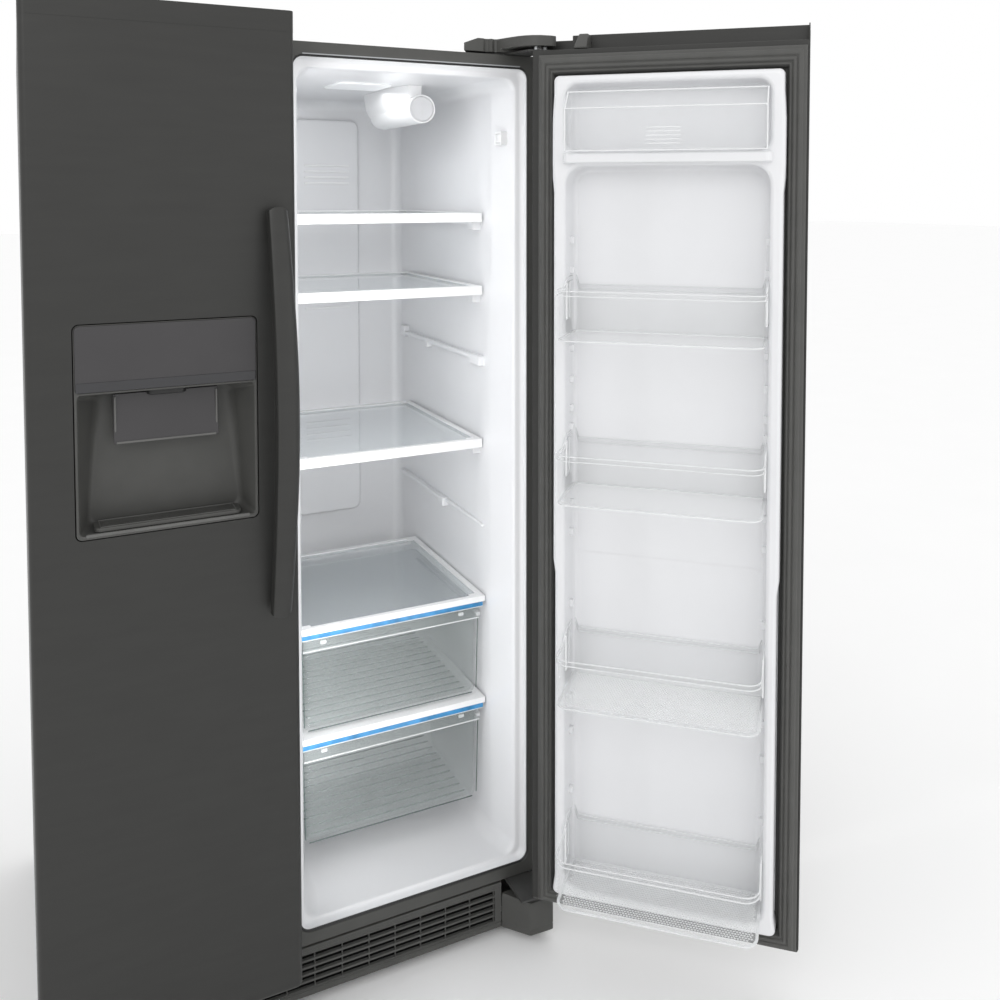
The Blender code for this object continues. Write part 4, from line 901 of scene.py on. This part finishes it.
# --- hinges, grille and feet ---
def hinge_covers():
    x, y = HINGE_X, HINGE_Y
    edge = CASE_HALF - 0.0005
    front = [(0.301, 0.0045), (0.304, 0.0035), (0.3405, 0.0035), (0.3425, 0.0045), (0.3445, 0.0068),
             (0.3485, 0.0078), (0.3525, 0.0068), (0.3545, 0.0042), (0.3565, 0.002), (0.359, 0.002),
             (0.3612, 0.004), (0.365, 0.0056), (0.369, 0.004), (0.3708, 0.0), (0.3728, -0.006),
             (0.376, -0.016), (0.381, -0.032), (0.387, -0.048), (0.395, -0.062), (0.406, -0.073),
             (0.42, -0.08)]
    disc = [(min(x + 0.025 * math.cos(math.radians(a)), edge),
             y + 0.025 * math.sin(math.radians(a))) for a in range(-90, 81, 10)]
    rest = [(x + 0.002, -0.014), (edge - 0.002, 0.002), (edge, 0.004), (edge, 0.128), (edge - 0.002, 0.13),
            (0.374, 0.13), (0.372, 0.128)]
    plan = front + disc + rest
    for name, side in (("right", 1), ("left", -1)):
        outline = plan if side > 0 else mirrored(plan)
        body = prism(outline, "Z", 1.747, 1.772)
        lift = [(0.372, -0.1), (0.47, -0.1), (0.47, -0.006), (0.372, -0.006)]
        cut(body, prism(lift if side > 0 else mirrored(lift), "Z", 1.7, 1.7525))
        slope = [(0.28, 1.7605), (0.3005, 1.761), (0.331, 1.7725), (0.331, 1.79), (0.28, 1.79)]
        cut(body, prism(slope if side > 0 else mirrored(slope), "Y", -0.1, 0.2))
        hang("hinge_cap_" + name, bevel(body, 0.0009, 2, 50), TRIM, "cabinet", ("hinge_cover_" + name,),
             angle=30)
        pins = [rod(side * x, y, 0.0052, "Z", 1.7445, 1.753),
                rod(side * (x - 0.022), y - 0.006, 0.004, "Z", 1.7464, 1.753)]
        hang("hinge_pins_" + name, pins, ZINC)
        paint("hinge_top_" + name, PLATE)
        paint("hinge_bottom_" + name, PLATE)


def grille():
    base, top, thick = 0.019, 0.111, 0.008
    w = 0.3765
    frame_plate = box((-w, w), (0.0012, thick), (base, top))
    cut(frame_plate, box((-0.362, 0.362), (-0.01, 0.02), (0.032, 0.0975)))
    lip = soft_box((-w, w), (0.0, 0.0035), (top - 0.0085, top - 0.0005), 0.0012, 3)
    sill = soft_box((-w, w), (0.0, 0.0035), (base + 0.0005, base + 0.0105), 0.0012, 3)
    pieces = [bevel(frame_plate, 0.001, 2), lip, sill]
    for k in range(6):
        z = 0.032 + 0.0131 * k
        profile = [(0.0014, z - 0.0014), (0.003, z + 0.001), (0.0074, z + 0.0026), (0.0074, z + 0.0002),
                   (0.0034, z - 0.0016)]
        pieces.append(prism(profile, "X", -0.3625, 0.3625))
    for k in range(15):
        x = -0.36 + 0.72 * k / 14
        pieces.append(box(about(x, 0.0008), (0.0026, 0.0074), (0.0315, 0.098)))
    hang("kick_grille", pieces, TRIM, "cabinet", ("toe_grille",), angle=30)
    # a near-black sheet behind the slats: painted shade in the grille's gaps
    hang("grille_gap_painted_shade", box((-0.364, 0.364), (0.0076, 0.008), (0.03, 0.099)), PAINTED_SHADE)


def feet():
    """Corner covers: a sloped top, a chamfer line and an oblique inner face."""
    base, top = 0.018, 0.088
    for name, side in (("right", 1), ("left", -1)):
        plan = [(0.3772, 0.0), (0.415, -0.0455), (0.417, -0.047), (0.4195, -0.048), (0.464, -0.05),
                (0.4655, -0.0495), (0.4665, -0.048), (0.4665, 0.003), (0.3772, 0.003)]
        cx, cy = 0.43, -0.012

        def ring(shrink, z, tilt=0.0):
            pts = [(cx + (u - cx) * (1 - shrink), cy + (v - cy) * (1 - shrink)) for u, v in plan]
            pts = [(u, v, z + tilt * (v + 0.05)) for u, v in pts]
            pts = pts if side > 0 else [(-u, v, z2) for u, v, z2 in reversed(pts)]
            return pts

        block = skin([ring(*row) for row in (
            (0.02, base), (0.0, base + 0.0015), (0.0, base + 0.0105), (0.018, base + 0.012),
                       (0.018, base + 0.0128), (0.0, base + 0.014), (0.0, top - 0.013, 0.1),
                       (0.012, top - 0.009, 0.1), (0.05, top - 0.0062, 0.1))])
        hang("foot_cap_" + name, block, TRIM, "cabinet", ("foot_cover_" + name,), angle=30)


# --- shelves, crispers and fittings in the fridge ---
def shelf(name, nodes, x, y, top, drop, look=WHITE):
    trim = GLASS_TRIM
    frame_body = box(x, y, (top - 0.012, top))
    join(frame_body, box(x, (y[0], y[0] + trim), (top - drop, top - 0.001)))
    cut(frame_body, box((x[0] + trim, x[1] - trim), (y[0] + trim, y[1] - trim), (top - 0.0063, top + 0.01)))
    cut(frame_body, box((x[0] + trim + 0.006, x[1] - trim - 0.006),
                        (y[0] + trim + 0.006, y[1] - trim - 0.006), (top - 0.05, top)))
    bevel(frame_body, 0.0016, 3)
    clips = []
    for cx in (x[0] + trim, x[1] - trim - 0.016):
        clips.append(soft_box((cx, cx + 0.016), (y[0] + trim, y[0] + trim + 0.01),
                              (top - 0.003, top - 0.0006), 0.001))
        clips.append(soft_box((cx, cx + 0.016), (y[1] - trim - 0.01, y[1] - trim),
                              (top - 0.003, top - 0.0006), 0.001))
    hang(name + "_rim", [frame_body] + clips, look, "cabinet", (nodes[0],))
    if len(nodes) > 1:
        pane = bevel(box((x[0] + trim + 0.0003, x[1] - trim - 0.0003),
                         (y[0] + trim + 0.0003, y[1] - trim - 0.0003),
                         (top - 0.006, top - 0.002)), 0.0006, 2)
        hang(name + "_pane", pane, GLASS, "cabinet", (nodes[1],))


def drawer(name, node, body, base, top, back):
    x0, x1 = DRAWER_X
    y0 = DRAWER_FRONT
    wall = 0.0028

    def ring(inset, z, lean=0.0):
        return [(u, v, z) for u, v in rounded(x0 + inset, y0 + lean, x1 - inset, back - inset, 0.013, 8)]

    rings = [ring(*row) for row in (
        (0.01, base, 0.006), (0.0065, base + 0.0012, 0.0035), (0.0045, base + 0.005, 0.0018),
        (0.0035, base + 0.012, 0.001), (0.0, top - 0.026), (0.0, top), (wall, top, wall),
        (wall, top - 0.026, wall), (wall + 0.0035, base + 0.013, wall + 0.001),
        (wall + 0.007, base + 0.0055, wall + 0.003), (wall + 0.011, base + 0.003, wall + 0.006))]
    tub = skin(rings)
    pull = [(y0 - 0.008, top - 0.0025), (y0 - 0.0072, top - 0.0012), (y0 + 0.002, top - 0.001),
            (y0 + 0.002, top - 0.0032), (y0 - 0.0052, top - 0.0034), (y0 - 0.0056, top - 0.0225),
            (y0 - 0.0048, top - 0.024), (y0 - 0.0072, top - 0.0242), (y0 - 0.008, top - 0.023)]
    lip = prism(pull, "X", x0 + 0.001, x1 - 0.001)
    hang(name + "_tub", [tub, lip], TINTED, body, (node,), angle=50)
    # the band round the top, the line under the pull and the strips along the sides are in the white finish:
    # painted highlights on the tinted tub
    z = top - 0.0012
    a = [(u, v, z) for u, v in rounded(x0 - 0.0004, y0 - 0.0002, x1 + 0.0004, back, 0.013, 8)]
    b = [(u, v, z) for u, v in rounded(x0 + 0.003, y0 + 0.003, x1 - 0.003, back - 0.003, 0.01, 8)]
    edge = [skin([a, b] + [[(u, v, z + 0.0012) for u, v, _ in line] for line in (b, a)], closed=True)]
    z = top - 0.0242
    edge.append(soft_box((x0 + 0.0008, x1 - 0.0008), (y0 - 0.0084, y0 - 0.0052), (z - 0.0004, z + 0.0012),
                         0.0004))
    for side, wall_x in ((1, x0), (-1, x1)):
        edge.append(soft_box(across(wall_x, side, -0.0078, 0.001), (y0 + 0.012, back - 0.002),
                             (top - 0.025, top - 0.0222), 0.0008))
    ribs = []
    count = round((back - y0) / 0.026)
    for k in range(1, count):
        y = y0 + (back - y0) * k / count
        ribs.append(soft_box((x0 + 0.02, x1 - 0.02), about(y, 0.0016), (base + 0.002, base + 0.0042),
                             0.0008))
    hang(name + "_edges", edge, CLEAR_HIGHLIGHT, body)
    hang(name + "_floor_ribs", ribs, TINTED_RIB, body)
    dark = []
    for side, wall_x in ((1, x0), (-1, x1)):
        corners = ((-0.0006, -0.0008), (0.0008, -0.0008), (0.0008, 0.0006), (-0.0006, 0.0006))
        ends = ((wall_x + side * 0.0045, y0 + 0.001, base + 0.01),
                (wall_x + side * 0.001, y0 - 0.0002, top - 0.028))
        dark.append(skin([[(u + side * du, v + dv, z) for du, dv in corners] for u, v, z in ends]))
    dark.append(soft_box((x0 + 0.012, x1 - 0.012), (y0 + 0.0028, y0 + 0.0048),
                         (base - 0.0002, base + 0.0012), 0.0004))
    hang(name + "_dark_edges", dark, TINTED_EDGE, body)


def crispers():
    y = (0.116, 0.52)
    shelf("crisper_cover_top", ("crisper_cover_upper", "crisper_cover_glass"), SHELF_X, y, COVER_TOPS[0],
          0.0115)
    top = COVER_TOPS[1]
    y = (0.116, 0.435)
    plate = box(SHELF_X, y, (top - 0.005, top))
    join(plate, box(SHELF_X, (y[0], y[0] + 0.012), (top - 0.0115, top - 0.001)))
    for x in (SHELF_X[0], SHELF_X[1] - 0.012):
        join(plate, box((x, x + 0.012), y, (top - 0.0115, top - 0.001)))
    hang("crisper_cover_low", bevel(plate, 0.0014, 3), WHITE, "cabinet", ("crisper_cover_lower",))
    strips, hooks = [], []
    for top in COVER_TOPS:
        strips.append(soft_box((SHELF_X[0] + 0.001, SHELF_X[1] - 0.004), (0.1165, 0.1275),
                (top - 0.0212, top - 0.01), 0.0012, 2))
        for x in (SHELF_X[0] + 0.046, SHELF_X[1] - 0.054):
            hooks.append(soft_box((x, x + 0.012), (0.1295, 0.133), (top - 0.04, top - 0.033), 0.001))
    hang("cover_blue_strips", strips, BLUE)
    hang("cover_strip_lines", [soft_box((SHELF_X[0] + 0.001, SHELF_X[1] - 0.004), (0.1163, 0.1272),
            (top - 0.0224, top - 0.0213), 0.0004)
                               for top in COVER_TOPS], WHITE)
    for (base, top, back), part_name in zip(DRAWERS, ("upper", "lower")):
        drawer("crisper_" + part_name + "_drawer", "crisper_drawer_" + part_name, "crisper_" + part_name,
               base, top, back)
    for part_name, hook in zip(("upper", "upper", "lower", "lower"), hooks):
        hang("crisper_hook_%d" % hooks.index(hook), hook, WHITE, "crisper_" + part_name)


def filter_and_switch():
    x, z, r = FILTER
    tube, cap_radius = 0.0292, r - 0.0016
    housing = loft([(circle(x, z, tube - shrink, 64), y) for y, shrink in (
        (0.1946, 0.001), (0.1949, 0.0003), (0.1956, 0.0), (0.43, 0.0), (0.452, 0.003), (0.466, 0.011),
                      (0.47, 0.016))], "Y")
    top = LINER_CEILING - 0.0003
    fairing = [(x - 0.0395, top), (x - 0.0385, top - 0.012), (x - 0.035, z + 0.014), (x - 0.029, z + 0.002),
               (x - 0.02, z - 0.01), (x + 0.004, z - 0.004), (x + 0.016, z + 0.016), (x + 0.019, top)]
    slices = []
    for y, share in ((0.208, 0.5), (0.22, 0.62), (0.24, 0.78), (0.27, 0.92), (0.3, 1.0), (0.456, 1.0)):
        slices.append(([(x - 0.01 + (u - x + 0.01) * share, top + (v - top) * (0.55 + 0.45 * share))
                        for u, v in fairing], y))
    join(housing, loft(slices, "Y"))
    cut(housing, rod(x, z, cap_radius + 0.0007, "Y", 0.19, 0.44, 64))
    hang("filter_cradle", housing, WHITE, "cabinet", ("filter_housing",), angle=35)
    cap = loft([(circle(x, z, radius, 64), y) for radius, y in (
        (cap_radius - 0.0032, 0.1986), (cap_radius - 0.0022, 0.1983), (cap_radius - 0.0014, 0.1976),
                                    (cap_radius - 0.0006, 0.1975), (cap_radius, 0.1981),
                                    (cap_radius, 0.428), (r * 0.5, 0.438), (r * 0.5, 0.452))], "Y")
    grip = soft_box(about(x, 0.0018), (0.1979, 0.2), about(z, 0.013), 0.0008)
    hang("filter_cap", [cap, grip], CAP, "water_filter", ("water_filter",), angle=35)
    button = [(0.418, 0.045), (0.3985, 0.045), (0.397, 0.0456), (0.3955, 0.048), (0.3952, 0.055),
              (0.3955, 0.062), (0.397, 0.0644), (0.3985, 0.065), (0.418, 0.065)]
    hang("switch_button", bevel(prism(button, "Z", 1.5775, 1.5945), 0.0008, 2), WHITE, "door_switch",
         ("door_switch",))
    plate = prism(rounded(0.04, 1.5725, 0.07, 1.5995, 0.004, 5), "X", 0.3955, 0.415)
    cut(plate, box((0.38, 0.43), (0.0443, 0.0657), (1.5768, 1.5952)))
    hang("switch_bezel", bevel(plate, 0.0008, 2), WHITE)


# --- freezer fittings ---
def freezer_fittings():
    left, right = FREEZER_X[0] + WALL_IN, FREEZER_X[1] - WALL_IN
    for node, look, width in (("evaporator_cover", WHITE, 0.002), ("ice_maker", WHITE, 0.003),
            ("ice_bin", CLEAR, 0.0007), ("freezer_shelf", WHITE, 0.002), ("freezer_basket", CLEAR, 0.0007)):
        paint(node, look, width)
    louvres = []
    for z in (0.42, 0.9, 1.48):
        for k in range(4):
            louvres.append(soft_box((left + 0.06, right - 0.06), (0.6095, 0.613),
                    (z + 0.013 * k, z + 0.013 * k + 0.005), 0.0015))
    hang("freezer_louvres", louvres, WHITE)
    arm = [soft_box((left + 0.02, left + 0.026), (0.3, 0.42), (1.583, 1.59), 0.0015),
           soft_box((left + 0.03, right - 0.03), (0.2775, 0.2805), (1.612, 1.672), 0.0012)]
    hang("ice_maker_front", arm, LENS)
    # white rims round the freezer shelf and basket: painted highlights on their clear edges
    rims = []
    for x, y, z in (((left + 0.004, right - 0.004), (0.09, 0.58), 1.57),
                    ((left + 0.012, right - 0.012), (0.12, 0.42), 0.4)):
        rims.append(nest(x, y, 0.012, ((0.0, z - 0.003), (0.0034, z - 0.003), (0.0034, z + 0.0004),
                (0.0, z + 0.0004)),
                         "Z", 6, closed=True))
    hang("freezer_tray_rim_highlights", rims, CLEAR_HIGHLIGHT)


# --- build ---
case_front()
liners()
fridge_door()
freezer_door()
hinge_covers()
grille()
feet()
for shelf_name, shelf_top in zip(("top", "middle", "lower"), SHELF_TOPS):
    shelf("shelf_" + shelf_name, ("shelf_frame_" + shelf_name, "shelf_glass_" + shelf_name), SHELF_X,
          SHELF_Y, shelf_top, 0.019)
crispers()
filter_and_switch()
freezer_fittings()
for cad_node, finish_look, edge_width in (
        ("foam_insulation", FOAM, 0.0), ("back_panel", ZINC, 0.0006), ("machine_cover", ZINC, 0.0003),
                                     ("base_chassis", ZINC, 0.0), ("levelling_leg_left", BLACK, 0.0006),
                                     ("levelling_leg_right", BLACK, 0.0006),
                                     ("rear_roller_left", BLACK, 0.0), ("rear_roller_right", BLACK, 0.0),
                                     ("compressor", ENAMEL, 0.0), ("condenser_fan", BLACK, 0.0)):
    paint(cad_node, finish_look, edge_width)


# --- floor, light and camera ---
def studio():
    floor = soft_box((-40.0, 40.0), (-40.0, 40.0), (-0.02, 0.0), 0.001)
    floor.name = "studio_floor"
    floor.data.materials.append(finish("floor", (0.97, 0.97, 0.97), 0.9, grain=3.0, vary=0.005))
    world = bpy.data.worlds.new("studio_sky")
    bpy.context.scene.world = world
    world.use_nodes = True
    sky = world.node_tree.nodes["Background"]
    sky.inputs["Color"].default_value = (1.0, 1.0, 1.0, 1.0)
    sky.inputs["Strength"].default_value = 1.0

    def area(name, spot, target, size, power):
        light = bpy.data.lights.new(name, "AREA")
        light.shape = "RECTANGLE"
        light.size, light.size_y = size
        light.energy = power
        lamp = bpy.data.objects.new(name, light)
        bpy.context.scene.collection.objects.link(lamp)
        lamp.location = spot
        lamp.rotation_euler = (Vector(target) - Vector(spot)).to_track_quat("-Z", "Y").to_euler()

    area("key_light", (-1.8, -3.2, 3.2), (0.1, 0.0, 1.0), (2.2, 1.6), 22.0)
    area("fill_light", (1.6, -3.4, 1.6), (0.0, 0.0, 0.9), (1.8, 2.2), 6.0)
    # soft lights for the fridge: under the ceiling, a tall strip on the mullion side, a faint fill in front
    area("ceiling_light", (-0.05, 0.13, 1.688), (-0.05, 0.2, 0.9), (0.2, 0.16), 0.38)
    area("side_light", (-0.2, -0.09, 0.95), (0.15, 0.25, 0.95), (0.03, 1.4), 1.9)
    area("inside_fill", (-0.01, -0.175, 1.0), (0.0, 0.5, 1.0), (0.3, 1.4), 0.9)
    camera = bpy.data.cameras.new("camera")
    camera.sensor_width = 36.0
    camera.lens = 36.08
    camera.shift_x = -0.016
    camera.shift_y = -0.26
    eye = bpy.data.objects.new("camera", camera)
    bpy.context.scene.collection.objects.link(eye)
    eye.location = (-0.6539, -1.8632, 1.4754)
    eye.rotation_euler = (math.radians(87.4), 0.0, math.radians(-26.5))
    bpy.context.scene.camera = eye
    bpy.context.scene.view_settings.view_transform = "Standard"


studio()
